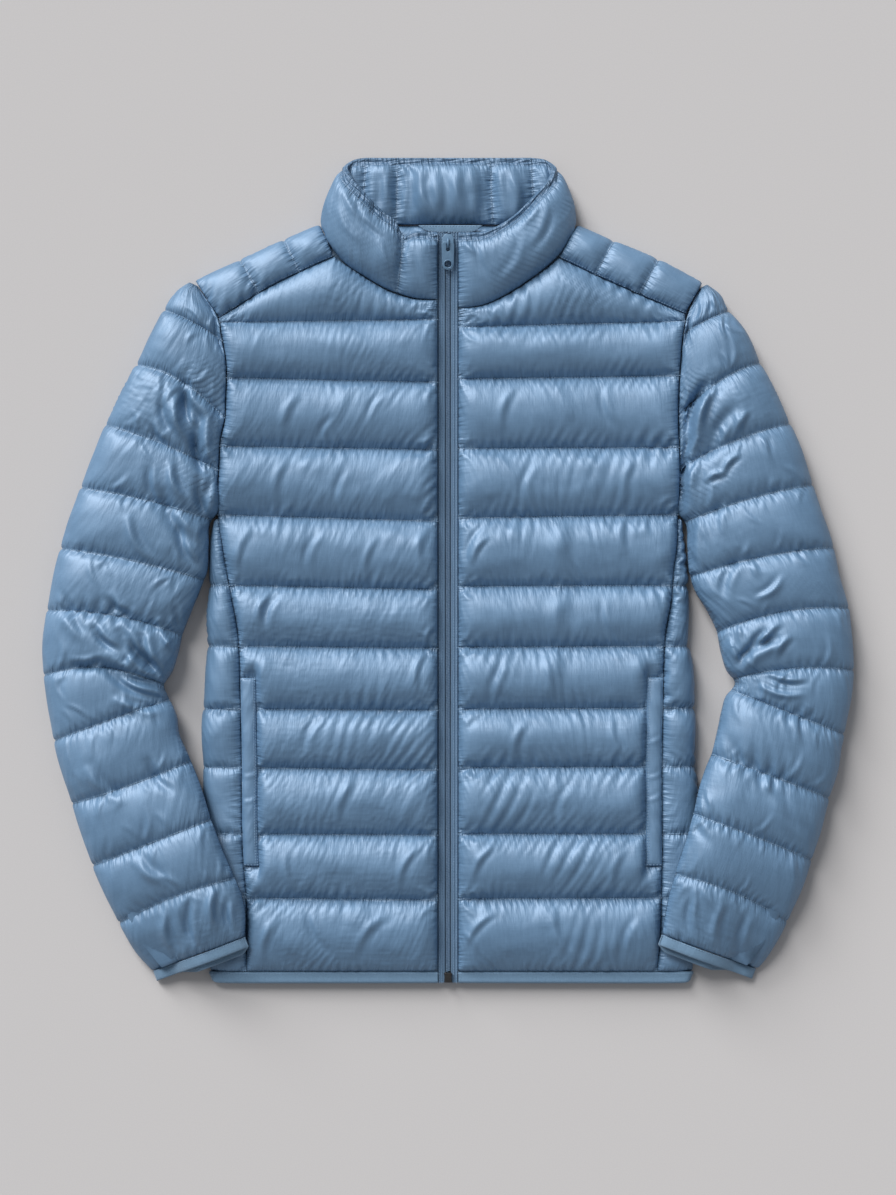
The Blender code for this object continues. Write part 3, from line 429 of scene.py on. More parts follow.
def join(name, outer, inner, material, sewn=None):
    """A closed piece between an outer and an inner grid of points whose corners belong together. The
    outer one's distance from its sewn points is kept on the mesh for the material."""
    outer = np.asarray(outer, float)
    inner = np.asarray(inner, float)
    points = np.concatenate([outer.reshape(-1, 3), inner.reshape(-1, 3)]) * MM
    points[:, 2] = np.maximum(points[:, 2], 0.0)
    faces = []
    edges = []
    first = 0
    for grid in (outer, inner):
        height, width = grid.shape[:2]
        index = np.arange(height * width).reshape(height, width) + first
        first += height * width
        quads = np.stack([index[:-1, :-1], index[:-1, 1:], index[1:, 1:], index[1:, :-1]], axis=-1)
        faces += quads.reshape(-1, 4).tolist()
        edges.append((index[0], index[-1], index[:, 0], index[:, -1]))
    for dense, sparse in zip(*edges):
        faces += zipped(points, dense, sparse)
    mesh = bpy.data.meshes.new(name)
    mesh.from_pydata(points.tolist(), [], faces)
    far = np.full((2, len(points)), FAR_FROM_SEAMS)
    if sewn is not None:
        for row, distance in zip(far, sewn_distance(outer, sewn)):
            row[: distance.size] = np.minimum(distance.ravel() * MM, FAR_FROM_SEAMS)
    for label, values in zip(("row_seam", "column_seam"), far):
        mesh.attributes.new(label, "FLOAT", "POINT").data.foreach_set("value", values.astype(np.float32))
    turn_faces_out(mesh)
    corners = np.empty(len(mesh.loops), np.int32)
    mesh.loops.foreach_get("vertex_index", corners)
    places = np.concatenate([cut_places(outer), cut_places(inner)])[corners]
    mesh.uv_layers.new(name="cloth").uv.foreach_set("vector", places.astype(np.float32).ravel())
    return add_object(name, mesh, material)


def new_group(name, inputs, outputs, tree_kind="ShaderNodeTree"):
    """An empty node group with its sockets: the group, what comes in and where results go."""
    group = bpy.data.node_groups.new(name, tree_kind)
    for way, sockets in (("INPUT", inputs), ("OUTPUT", outputs)):
        for label, kind in sockets:
            group.interface.new_socket(label, in_out=way, socket_type="NodeSocket" + kind)
    return group, group.nodes.new("NodeGroupInput").outputs, group.nodes.new("NodeGroupOutput").inputs


def maths(tree, operation, *values):
    """The result of a Math node that takes these numbers or sockets."""
    return node(tree, "ShaderNodeMath", dict(enumerate(values)), operation=operation).outputs[0]


def added(tree, total, *values):
    """The sum of these sockets."""
    for value in values:
        total = maths(tree, "ADD", total, value)
    return total


def stretched_noise(tree, place, along, across, detail=2.0, turn=0.0):
    """Noise on the flat cloth whose bumps are this long along its rows and across them, in metres."""
    flat = node(tree, "ShaderNodeMapping", {"Vector": place, "Rotation": (0.0, 0.0, turn)}).outputs[0]
    values = {"Vector": flat, "Scale": (1 / along, 1 / across, 1.0)}
    flat = node(tree, "ShaderNodeMapping", values).outputs[0]
    return node(tree, "ShaderNodeTexNoise", {"Vector": flat, "Scale": 1.0, "Detail": detail}).outputs["Fac"]


def make_weave_group():
    """Woven cloth: the height of its threads, and a faint unevenness of their shade."""
    inputs = (("Place", "Vector"), ("Thread", "Float"), ("Depth", "Float"))
    group, given, results = new_group("cloth_weave", inputs, (("Height", "Float"), ("Shade", "Float")))
    axes = node(group, "ShaderNodeSeparateXYZ", {"Vector": given["Place"]}).outputs
    turns = maths(group, "DIVIDE", 2 * math.pi, given["Thread"])
    warp = maths(group, "SINE", maths(group, "MULTIPLY", axes[0], turns))
    weft = maths(group, "SINE", maths(group, "MULTIPLY", axes[1], turns))
    height = maths(group, "MULTIPLY", maths(group, "MULTIPLY", warp, weft), given["Thread"])
    group.links.new(maths(group, "MULTIPLY", height, given["Depth"]), results["Height"])
    slubs = maths(group, "ADD", stretched_noise(group, given["Place"], 0.0007, 0.012),
                  stretched_noise(group, given["Place"], 0.014, 0.0009))
    group.links.new(maths(group, "MULTIPLY", slubs, 0.5), results["Shade"])
    return group


def make_pucker_group():
    """Pinched cloth beside stitching, square to it and fading away from it: its height, and a painted seam
    shade that is 1 right at the stitching and fades within about a millimetre.
    """
    inputs = (("Place", "Vector"), ("Row", "Float"), ("Column", "Float"))
    group, given, results = new_group("seam_puckers", inputs, (("Height", "Float"), ("painted_seam_shade", "Float")))
    heights = []
    for label, along, across, turn in (("Row", 0.0032, 0.016, 0.16), ("Column", 0.016, 0.0034, 0.1)):
        near = maths(group, "EXPONENT", maths(group, "MULTIPLY", given[label], -1 / 0.0055))
        folds = stretched_noise(group, given["Place"], along, across, 1.0, turn)
        folds = maths(group, "SUBTRACT", folds, 0.5)
        heights.append(maths(group, "MULTIPLY", maths(group, "MULTIPLY", folds, near), 0.0034))
    group.links.new(added(group, *heights), results["Height"])
    # Painted shade for the seams' grooves: 1 at the stitching, fading within about a millimetre
    near = maths(group, "MINIMUM", given["Row"], given["Column"])
    group.links.new(maths(group, "EXPONENT", maths(group, "MULTIPLY", near, -1 / 0.0012)), results["painted_seam_shade"])
    return group


weave_group = make_weave_group()
pucker_group = make_pucker_group()


def cloth_place(tree):
    return node(tree, "ShaderNodeUVMap", uv_map="cloth").outputs["UV"]


def add_weave(tree, place, thread, depth):
    """Threads this wide, in metres, and this deep for their width, on the flat cloth."""
    values = {"Place": place, "Thread": thread, "Depth": depth}
    return node(tree, "ShaderNodeGroup", values, node_tree=weave_group).outputs


def shade_cloth(tree, shader, dark, light, factor, height):
    """Gives a shader two shades of cloth and the height of its surface, in metres."""
    tint = node(tree, "ShaderNodeMix", {"Factor": factor, "A": (*dark, 1.0), "B": (*light, 1.0)},
                data_type="RGBA")
    tree.links.new(tint.outputs["Result"], shader.inputs["Base Color"])
    bump = node(tree, "ShaderNodeBump", {"Height": height, "Strength": 1.0, "Distance": 1.0})
    tree.links.new(bump.outputs["Normal"], shader.inputs["Normal"])


NYLON_DARK = (0.06, 0.133, 0.235)
NYLON_LIGHT = (0.165, 0.304, 0.478)


def make_nylon():
    """Calendered nylon taffeta: a soft satin shine, fine threads, pinched seams, and painted shade that
    darkens the cloth right beside its stitching.
    """
    material, tree, shader = new_material("shell_nylon", 0.42, metallic=0.15)
    place = cloth_place(tree)
    rows = node(tree, "ShaderNodeAttribute", attribute_name="row_seam").outputs["Fac"]
    columns = node(tree, "ShaderNodeAttribute", attribute_name="column_seam").outputs["Fac"]
    weave = add_weave(tree, place, 0.0004, 0.012)
    values = {"Place": place, "Row": rows, "Column": columns}
    puckers = node(tree, "ShaderNodeGroup", values, node_tree=pucker_group).outputs
    crinkle = maths(tree, "MULTIPLY", stretched_noise(tree, place, 0.007, 0.03, 3.0, 0.2), 0.0007)
    values = {"Value": stretched_noise(tree, place, 0.05, 0.04, 1.0), "From Min": 0.35, "From Max": 0.7}
    patch = node(tree, "ShaderNodeMapRange", values, interpolation_type="SMOOTHERSTEP").outputs["Result"]
    crease = maths(tree, "MULTIPLY", stretched_noise(tree, place, 0.009, 0.07, 1.0, 0.45), patch)
    crease = maths(tree, "MULTIPLY", crease, 0.0022)
    grain = maths(tree, "MULTIPLY", stretched_noise(tree, place, 0.0013, 0.02, 2.0), 0.00012)
    height = added(tree, weave["Height"], puckers["Height"], crinkle, crease, grain)
    cloudy = stretched_noise(tree, place, 0.03, 0.02, 3.0)
    factor = maths(tree, "MULTIPLY", added(tree, weave["Shade"], cloudy), 0.5)
    # Painted shade: right beside the stitching the cloth is drawn towards its dark shade, as if its seam
    # groove lay in shadow
    factor = maths(tree, "SUBTRACT", factor, maths(tree, "MULTIPLY", puckers["painted_seam_shade"], 0.36))
    shade_cloth(tree, shader, NYLON_DARK, NYLON_LIGHT, factor, height)
    rough = node(tree, "ShaderNodeMapRange", {"Value": cloudy, "To Min": 0.46, "To Max": 0.6})
    tree.links.new(rough.outputs["Result"], shader.inputs["Roughness"])
    shader.inputs["Specular IOR Level"].default_value = 1.0
    return material


nylon = make_nylon()


def line_rows(spacings):
    """(line, share of the channel above it) of each row of a panel, from how far its lines are apart."""
    rows = []
    for k, spacing in enumerate(spacings):
        count = 2 * max(2, round(spacing / GRAIN / 2))
        rows += [(k, step / count) for step in range(count)]
    return rows + [(len(spacings), 0.0)]


def swell(share, skew=1.15, fullness=2.2):
    """Share of its loft that a channel reaches at this share of the way across it."""
    return 1.0 - np.abs(2.0 * share**skew - 1.0) ** fullness


def rounded(share):
    """A quarter round from 0 to 1."""
    return np.sqrt(1.0 - (1.0 - np.clip(share, 0, 1)) ** 2)


def with_height(plan, height):
    return np.concatenate([plan, np.broadcast_to(height, plan.shape[:2])[..., None]], axis=-1)


def thinned(grid, step=8):
    """Every so many points of a grid, and its last ones."""
    rows = sorted(set(range(0, grid.shape[0], step)) | {grid.shape[0] - 1})
    columns = sorted(set(range(0, grid.shape[1], step)) | {grid.shape[1] - 1})
    return grid[rows][:, columns]


def finish_piece(piece, nodes, body="jacket"):
    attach(piece, body)
    if nodes:
        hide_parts(*nodes)


FLOOR_DROP = ((-370, -7.0), (-302, -1.0), (-243, 0.0))  # y, and how much lower the fronts lie there
BOW = 0.1  # how far a fold bows between its ends, for its length


def drop_at(y):
    ys, drops = zip(*FLOOR_DROP)
    return np.interp(y, ys, drops)


def pressed_in(grid, creases):
    """Raises or lowers a settled grid along short folds, each a crest with a hollow beside it: ends in
    plan, height and half width. They bow a little between their ends."""
    result = grid.copy()
    upward = np.clip(face_out(grid)[..., 2] * facing(grid), 0, 1)
    for x0, y0, x1, y1, height, half in creases:
        start = np.array([x0, y0], float)
        run = np.array([x1, y1], float) - start
        share = np.clip(((grid[..., :2] - start) @ run) / (run @ run), 0, 1)
        away = grid[..., :2] - start - share[..., None] * run
        length = np.linalg.norm(run)
        beside = (run[0] * away[..., 1] - run[1] * away[..., 0]) / length
        beside += BOW * length * np.sin(math.pi * share)
        beyond = (away @ run) / length
        taper = np.sin(math.pi * np.clip(0.12 + 0.8 * share, 0, 1)) * upward
        taper *= np.exp(-((beyond / half) ** 2))
        fold = np.exp(-((beside / half) ** 2)) - 0.5 * np.exp(-((beside / half - 1.7) ** 2))
        result[..., 2] += height * taper * fold
    return result


stitch_lines = []  # chains of points with the way up at each, that thread runs along


def stitched(points, ups, lift=0.15):
    stitch_lines.append((np.asarray(points) + np.asarray(ups) * lift, np.asarray(ups)))


def stitch_rows(grid, rows, columns=slice(None)):
    """Marks rows of a settled grid for stitching."""
    normal = face_out(grid) * facing(grid)
    for row in rows:
        stitched(grid[row, columns], normal[row, columns])


def stitch_columns(grid, columns, rows=slice(None)):
    """Marks columns of a settled grid for stitching."""
    stitch_rows(grid.transpose(1, 0, 2), columns, rows)


def front_grid(side):
    lines = np.array(FRONT_LINES[side], float)
    top_line = len(lines) - 1
    rows = line_rows(np.abs(np.diff(lines, axis=0).sum(axis=1)) / 2)[:-1]
    rows += [(top_line, step / TOP_ROWS) for step in range(TOP_ROWS + 1)]
    across = np.linspace(0, 1, 2 * round(100 / GRAIN) + 1)
    yoke_part = np.clip(across / YOKE_SHARE, 0, 1)
    collar_part = np.clip((across - YOKE_SHARE) / (1 - YOKE_SHARE), 0, 1)
    top = np.where((across < YOKE_SHARE)[:, None], chain(YOKE_SEAM[side], yoke_part),
                   chain(COLLAR_SEAM[side], collar_part)) - (0, SEAM_GAP)
    seam_y, seam_out = zip(*(SIDE_SEAM[side][:-1] + ARMHOLE[side]))
    grid = []
    for line, share in rows:
        low = lines[line]
        if line < top_line:
            low = low + (lines[line + 1] - low) * share
        start = float(eased(seam_y, seam_out, low[0])) - SEAM_GAP / 2
        out = start - (start - ZIP_EDGE) * across
        y = low[0] + (low[1] - low[0]) * across
        if line == top_line:
            out = out + (top[:, 0] - out) * share
            y = y + (top[:, 1] - y) * share
        grid.append(np.stack([side * out, y], axis=-1))
    return np.array(grid), np.array(rows), across


ARMHOLE_RISE = 7.0  # how far the armhole's seam rides up on the sleeve's filling
ARMHOLE_TOP = 245.0  # y at which it lies low again
WELT_FADE = 0.3  # share of a channel past the welt's ends over which the front swells again
# The large folds, each from end to end in plan, with its height, below 0 for a hollow, and half width
FRONT_FOLDS = {
    LEFT: ((-108, 141, -120, 118, -2.1, 2.7), (-14, 123, -25, 111, 2.2, 2.2),
           (-12, 67, -25, 46, 2.3, 2.3), (-67, 29, -77, -10, 1.7, 3.1), (-22, 38, -26, 6, 2.3, 3.6),
           (-183, 37, -195, -2, 1.8, 3.6), (-166, -22, -175, -47, 2.6, 3.2),
           (-158, -24, -168, -50, -2.3, 3.1), (-12, -50, -22, -69, 2.5, 2.2),
           (-24, -78, -30, -110, 2.1, 3.2), (-140, 160, -152, 128, 1.8, 3.8),
           (-60, 165, -75, 138, -1.6, 2.9), (-150, 100, -160, 66, 1.7, 4),
           (-95, 92, -104, 58, -1.7, 3.1), (-120, 35, -132, 4, -2, 3.2),
           (-50, -140, -66, -172, 1.8, 3.4), (-120, -136, -134, -168, -1.7, 3.2),
           (-90, -196, -102, -232, 1.7, 3.6), (-30, -256, -46, -290, 2.1, 3.1),
           (-150, -262, -140, -296, 1.7, 3.6), (-60, -318, -86, -352, 2.1, 4),
           (-130, -316, -112, -350, -2, 3.4), (-160, -322, -172, -360, 2, 3.6)),
    RIGHT: ((33, 43, 15, 8, -2.6, 2.7), (35, 30, 22, 8, 2.3, 2.3), (161, 49, 161, 18, 2.5, 3.6),
            (181, 47, 183, 33, 2.1, 2.7), (106, 44, 107, -12, 2.6, 8.1),
            (105, -20, 101, -67, 2.6, 8.1), (99, -74, 95, -122, 2.2, 8.1),
            (49, -86, 38, -124, -2.1, 3.6), (33, -129, 15, -143, 2.1, 2.5),
            (204, 67, 193, 55, 2, 2.3), (60, 168, 48, 130, 1.8, 3.6),
            (140, 166, 150, 132, -1.8, 3.6), (78, 100, 66, 60, -1.8, 3.4),
            (170, 102, 160, 66, 1.8, 3.8), (140, -30, 150, -62, -1.7, 3.2),
            (70, -140, 60, -172, 2, 3.6), (150, -138, 160, -170, 1.6, 3.2),
            (110, -196, 98, -234, -1.8, 3.4), (40, -254, 22, -282, 2.2, 2.9),
            (160, -258, 150, -292, 1.7, 3.6), (40, -316, 16, -344, 2.3, 2.9),
            (26, -352, 14, -332, 2, 2.3), (96, -318, 112, -354, 2, 3.8),
            (170, -320, 160, -356, -1.8, 3.4)),
}


def below_yoke(y):
    """1 along the armhole, down to 0 where it ends at the yoke."""
    return np.clip((ARMHOLE_TOP - y) / 20.0, 0, 1)


def end_folds(side):
    """Short folds that fan out from both ends of each line of stitching."""
    rng = np.random.default_rng(11 + side)
    folds = []
    for seam_y, zip_y in FRONT_LINES[side][1:]:
        seam_out = float(np.interp(seam_y, *zip(*(SIDE_SEAM[side][:-1] + ARMHOLE[side]))))
        for out, y, way, longest in ((ZIP_EDGE + 1.5, zip_y, 1, 24.0), (seam_out - 1.5, seam_y, -1, 15.0)):
            for angle in (-62, -40, -20, 18, 38, 60):
                angle = math.radians(angle + rng.uniform(-9, 9))
                long = longest * rng.uniform(0.45, 1.0)
                away = rng.uniform(1.0, 3.5)
                ends = []
                for far in (away, long):
                    ends += [side * (out + way * far * math.cos(angle)), y + far * math.sin(angle)]
                folds.append((*ends, rng.uniform(0.7, 1.5), rng.uniform(1.5, 2.3)))
    return tuple(folds)


def make_front(side):
    plan, rows, across = front_grid(side)
    line, share = rows.T
    far = across * FRONT_WIDTH
    fade = rounded(far / SEAM_FADE) * rounded((FRONT_WIDTH - far) / ZIP_FADE)
    top = line == len(FRONT_LINES[side]) - 1
    span = np.linalg.norm(plan[-1] - plan[np.argmax(top)], axis=-1)
    fullness = np.where(top[:, None], np.clip(span / 55, 0.1, 1)[None, :], 1.0)
    level = SEAM_HEIGHT + LOFT * swell(share)[:, None] * fade[None, :] * fullness
    beside_sleeve = np.clip((plan[..., 1] - ARMHOLE[side][0][0]) / 30.0, 0, 1) * np.exp(-far / 16.0)
    level += ARMHOLE_RISE * beside_sleeve * below_yoke(plan[..., 1])
    sewn = sewn_down(level, share == 0)
    at = line + share
    welt_rows = (at >= WELT_ROWS[0]) & (at <= WELT_ROWS[1])
    past = np.maximum(np.maximum(WELT_ROWS[0] - at, at - WELT_ROWS[1]), 0.0)
    flat = np.cos(np.clip(past / WELT_FADE, 0, 1) * math.pi) / 2 + 0.5
    pocket = far <= WELT_WIDTH + 0.5
    beside = rounded((far - WELT_WIDTH) / 14.0)
    beside_welt = SEAM_HEIGHT + 1.0 + (level - SEAM_HEIGHT) * beside
    level += (beside_welt - level) * flat[:, None]
    sewn[np.ix_(welt_rows, pocket)] = 1.0
    shape = with_height(plan, level + drop_at(plan[..., 1]))
    settled = puff(shape, sewn, 21 + side, tilt=0.03 * side)
    settled = pressed_in(settled, FRONT_FOLDS[side] + end_folds(side))
    inner = thinned(with_height(plan, LINING + drop_at(plan[..., 1])))
    piece = join("quilted_front_" + SIDE_NAMES[side], settled, inner, nylon, sewn)
    finish_piece(piece, ["front_" + SIDE_NAMES[side]])
    stitch_rows(settled, np.flatnonzero((share == 0) & (line > 0)))
    return settled


front_shapes = {side: make_front(side) for side in (LEFT, RIGHT)}

# ---------------------------------------------------------------- side panels
# A narrow quilted panel runs down each side from the armpit to the hem. It turns over the body's
# edge to the back, so that only its outer half shows, and its channels draw the edge in.

BODY_EDGE = {
    LEFT: ((-370, 221), (-303, 224), (-211, 226), (-175, 227), (-138, 227), (-101, 224), (-64, 222),
           (-27, 221), (23, 219.5), (48, 216)),
    RIGHT: ((-370, 227), (-303, 229), (-211, 231), (-165, 228), (-119, 227), (-92, 225), (-64, 222),
            (-27, 222), (9, 219.5), (48, 216)),
}
# Section over the edge: share of the width out from the seam, height, what the loft adds to it,
# and what it adds where a sleeve presses on it
EDGE_SECTION = ((0.0, 18.2, 0.0, 0.0), (0.25, 18.6, 6.5, 0.6), (0.6, 17.6, 7.5, 1.2),
                (0.88, 14.0, 5.5, 1.5), (1.0, 8.0, 0.0, 0.0), (0.95, 2.4, 0.0, 0.0),
                (0.8, 0.0, 0.0, 0.0))
EDGE_FOOT = 24.0  # how far the panel reaches under the body at most
EDGE_NOTCH = 1.8  # how far a line of stitching draws the edge in
UNDER_SLEEVE = ((-215, 1.0), (-150, 0.0))  # y, and how much a sleeve presses there
ARMPIT_LINE = 7  # the line of stitching that ends at the armpit


def edge_section(width, rise, pressed, count):
    """Points (out from the seam, height) over a padded edge and down to the table."""
    across, level, loft, flat = (np.array(column) for column in zip(*EDGE_SECTION))
    foot = min(width, EDGE_FOOT)
    reach = np.where(np.arange(len(across)) < 5, across * width, width - foot * (1 - across))
    out = reach - EDGE_NOTCH * (1 - rise) * across
    up = level + rise * (loft + (flat - loft) * pressed)
    return np.maximum(chain(np.stack([out, up], axis=-1), np.linspace(0, 1, count)), (0.0, 0.0))


def make_side(side):
    seam_y, seam_out = zip(*SIDE_SEAM[side])
    edge_y, edge_out = zip(*BODY_EDGE[side])
    lines = np.array(FRONT_LINES[side], float)[: ARMPIT_LINE + 1, 0]
    outer = []
    inner = []
    rows = line_rows(np.diff(lines))
    for line, share in rows:
        y = lines[line]
        if share:
            y += (lines[line + 1] - y) * share
        y = min(y, edge_y[-1] - 1.0)
        start = float(eased(seam_y, seam_out, y)) + SEAM_GAP / 2
        width = float(eased(edge_y, edge_out, y)) - start
        rise = swell(share) * min(1.0, width / EDGE_FOOT) ** 2
        pressed = np.interp(y, *zip(*UNDER_SLEEVE))
        section = edge_section(width, rise, pressed, 25)
        level = section[:, 1] + drop_at(y) * np.clip(section[:, 1] / 14.0, 0, 1)
        outer.append([(side * (start + out), y, z) for out, z in zip(section[:, 0], level)])
        inside = start + width - min(width, EDGE_FOOT) / 2
        floor = LINING + drop_at(y)
        inner.append([(side * start, y, floor), (side * inside, y, floor), (side * inside, y, 0.0)])
    shape = np.array(outer)
    share = np.array(rows)[:, 1]
    sewn = sewn_down(shape, share == 0)
    settled = puff(shape, sewn, 31 + side, gather=0.06, pucker=0.1, edge_pucker=0.09, reach=6.0)
    settled = above_table(settled)
    piece = join("side_panel_" + SIDE_NAMES[side], settled, np.array(inner)[::2], nylon, sewn)
    finish_piece(piece, ["side_" + SIDE_NAMES[side]])
    stitch_rows(settled, np.flatnonzero(share == 0)[1:-1], slice(0, 20))


for side in (LEFT, RIGHT):
    make_side(side)

# ---------------------------------------------------------------- shoulder yokes
# A quilted yoke joins each front to the back over the shoulder. Two lines of stitching cross it,
# and its lower edge is topstitched to the front along a slanting seam.

YOKE_EDGE = {
    LEFT: ((234, 268), (189, 288), (145, 308), (118, 319)),
    RIGHT: ((235.5, 266), (194, 287), (144, 308), (119, 319)),
}
YOKE_LINES = (0.0, 0.36, 0.71, 1.0)  # shares of the way along the seam
YOKE_LENGTH = 121.0
YOKE_LEAST = 0.3  # share of its loft that a yoke keeps at a line, and what it gains between two
YOKE_GAIN = 0.45


def make_yoke(side):
    rows = line_rows(np.diff(YOKE_LINES) * YOKE_LENGTH)
    outer = []
    inner = []
    for line, share in rows:
        along = YOKE_LINES[line]
        if share:
            along += (YOKE_LINES[line + 1] - along) * share
        along = 0.002 + 0.996 * along
        start = chain(YOKE_SEAM[side], along) + (SEAM_GAP / 2, SEAM_GAP)
        end = chain(YOKE_EDGE[side], along)
        start, end = start * (side, 1), end * (side, 1)
        width = float(np.linalg.norm(end - start))
        direction = (end - start) / width
        section = edge_section(width, YOKE_LEAST + YOKE_GAIN * float(swell(share)), 0.0, 31)
        outer.append([(*(start + direction * out), z) for out, z in section])
        inside = start + direction * (width - min(width, EDGE_FOOT) / 2)
        inner.append([(*start, LINING), (*inside, LINING), (*inside, 0.0)])
    shape = np.array(outer)
    share = np.array(rows)[:, 1]
    sewn = sewn_down(shape, share == 0)
    settled = above_table(puff(shape, sewn, 41 + side, gather=0.07, pucker=0.11, edge_pucker=0.1))
    piece = join("shoulder_yoke_" + SIDE_NAMES[side], settled, np.array(inner), nylon, sewn)
    finish_piece(piece, ["yoke_" + SIDE_NAMES[side]])
    stitch_rows(settled, np.flatnonzero(share == 0)[1:-1], slice(0, 25))
    stitch_columns(settled, (1,))


for side in (LEFT, RIGHT):
    make_yoke(side)

# ---------------------------------------------------------------- sleeves
# Each sleeve is cut in one quilted piece and closed by a seam along the underarm. It lies flat,
# bent a little at the elbow, where its channels fold into each other, and its lower part rests on
# the edge of the body.

SLEEVE_OUTER = {
    LEFT: ((-370, 274), (-354, 288), (-326, 303), (-299, 316), (-271, 328), (-239, 339), (-211, 348),
           (-175, 359), (-147, 365), (-119, 370), (-92, 373), (-64, 373), (-46, 371), (-14, 365),
           (19, 357), (37, 352), (62, 343), (83, 336), (106, 327), (132, 317), (152, 307), (170, 297),
           (193, 285), (216, 274), (246, 258), (261, 247), (269, 235)),
    RIGHT: ((-370, 284), (-363, 291), (-345, 303), (-322, 314), (-299, 324), (-268, 335), (-239, 344),
            (-211, 351), (-184, 359), (-165, 362), (-138, 368), (-110, 373), (-83, 374), (-55, 372),
            (-27, 368), (-9, 362), (28, 354), (55, 344), (83, 335), (115, 324), (138, 314), (166, 301),
            (193, 287), (221, 273), (239, 259), (256, 250), (267, 236)),
}
SLEEVE_INNER = {
    LEFT: ((-336, 186), (-317, 186), (-299, 189), (-280, 196), (-253, 208), (-230, 216), (-207, 224),
           (-188, 231), (-170, 238), (-152, 247), (-133, 250), (-119, 256), (-107, 261), (-94, 254),
           (-78, 249), (-60, 244), (-37, 236), (-18, 228), (-4, 222), (23, 220.5), (45, 217.5)),
    RIGHT: ((-334, 196), (-303, 202), (-271, 210), (-248, 218), (-221, 225), (-202, 230), (-184, 236),
            (-165, 243), (-147, 248), (-129, 252), (-115, 256), (-104, 264), (-94, 257), (-78, 252),
            (-57, 247), (-38, 239), (-18, 227), (-4, 222), (23, 220.5), (44, 217.5)),
}
# Lines of stitching from the shoulder down: y at the outer and at the inner edge, and how far the line
# bows up between them
SLEEVE_LINES = {
    LEFT: ((266, 262, 0), (240, 211, 2.5), (189, 140, 10), (134, 92, 3.5), (76, 46, 3.5),
           (20, -9, 3.5), (-37, -60, 7), (-97, -106, 12), (-157, -119, 1), (-215, -175, -2),
           (-272, -228, 0), (-325, -282, 5), (-370, -336, 0)),
    RIGHT: ((264, 260, 0), (239, 218, 1.5), (191, 142, 8), (135, 94, 5), (79, 44, 4), (21, -6, 5),
            (-35, -57, 8), (-92, -100, 6), (-151, -110, 0), (-210, -169, 1), (-267, -223, 1.5),
            (-324, -279, 7), (-368, -334, 0)),
}
# The sleeve at each of them: height, share of the armhole's form, lift over the body's edge, and share
# of the width at which it is lifted fully
SLEEVE_FORM = ((19, 1, 0, 1), (31, 1, 0, 1), (36, 1, 0, 1), (38, 1, 0, 1), (39, 0, 0, 1),
               (40, 0, 0, 1), (40, 0, 0, 1), (41, 0, 0, 1), (41, 0, 0, 1), (40, 0, 7, 0.8),
               (38, 0, 20.5, 0.78), (34, 0, 20.7, 0.66), (15, 0, 20.7, 0.5))
# Section from the underarm seam over the top, round the outer edge and back underneath: share of
# the width from the outer edge, share of the height, and both where the sleeve meets the armhole
SLEEVE_SECTION = (
    (1.0, 0.42, 1.0, 0.0), (0.95, 0.72, 0.93, 0.8), (0.81, 0.93, 0.8, 0.93), (0.62, 1.0, 0.62, 1.0),
    (0.38, 1.0, 0.38, 1.0), (0.18, 0.91, 0.18, 0.91), (0.05, 0.7, 0.05, 0.7), (0.0, 0.4, 0.0, 0.4),
    (0.06, 0.14, 0.06, 0.14), (0.2, 0.0, 0.2, 0.0), (0.5, 0.0, 0.5, 0.0), (0.8, 0.0, 0.8, 0.0),
    (0.94, 0.12, 0.95, 0.0), (1.0, 0.36, 1.0, 0.0))
SLEEVE_GROOVE = 0.85  # share of its height that a sleeve keeps at a line of stitching
SLEEVE_NOTCH = 1.2  # how far a line of stitching draws its two edges in
PRESSED = 0.25  # share of its height that it loses where it lies on the body
LIFT_FROM = 0.2  # share of its width, from the outer edge, at which the body begins to lift it
CUFF_REACH = 5.0  # how much further the under side of a cuff reaches than its top
TOP_COLUMNS = 0.63  # share of the section, from the underarm seam, that is seen from above
STITCHED_PART = 0.7  # share of it that has visible stitching, and from where it is held still
STILL_PART = 0.72


def sleeve_lines(side):
    return [line + form for line, form in zip(SLEEVE_LINES[side], SLEEVE_FORM)]


def sleeve_section(side, row, rise, shares):
    """Points round a sleeve at one row of its table, and the direction down it."""
    outer_y, inner_y, bow, height, cap, lift, lean = row
    out_y, out_x = zip(*SLEEVE_OUTER[side])
    armhole = tuple((y, out + 2 * SEAM_GAP) for y, out in ARMHOLE[side] if y > SLEEVE_INNER[side][-1][0])
    in_y, in_x = zip(*(SLEEVE_INNER[side] + armhole))
    start = np.array([side * float(eased(out_y, out_x, outer_y)), outer_y])
    end = np.array([side * float(eased(in_y, in_x, inner_y)), inner_y])
    width = np.linalg.norm(end - start)
    direction = (end - start) / width
    down = np.array([direction[1], -direction[0]]) * side
    if down[1] > 0:
        down = -down
    notch = min(SLEEVE_NOTCH, width * 0.05) * (1 - rise)
    full = height * (SLEEVE_GROOVE + (1 - SLEEVE_GROOVE) * rise)
    table = np.array(SLEEVE_SECTION)
    across = table[:, 0] + (table[:, 2] - table[:, 0]) * cap
    up = (table[:, 1] + (table[:, 3] - table[:, 1]) * cap) * full
    up[0] += cap * min(18.0 + ARMHOLE_RISE * below_yoke(inner_y), height)
    raised = lift * np.clip((across - LIFT_FROM) / (lean - LIFT_FROM), 0, 1)
    z = raised + up * (1 - PRESSED * raised / 20.0)
    place = start + direction * (notch + across * (width - notch - notch * (1 - cap)))[:, None]
    points = above_table(chain(np.column_stack([place, z]), shares))
    across = ((points[:, :2] - start) @ direction) / width
    seen = 4 * across * (1 - across)
    points[:, 1] += bow * np.clip(seen, 0, 1) * (points[:, 2] > full * 0.4)
    return points, down


def sleeve_shares():
    """Places round the section, close together on the side that shows."""
    top = np.linspace(0, TOP_COLUMNS, 2 * round(78 / GRAIN) + 1)
    under = np.linspace(TOP_COLUMNS, 1, 23)
    return np.concatenate([top, under[1:]])


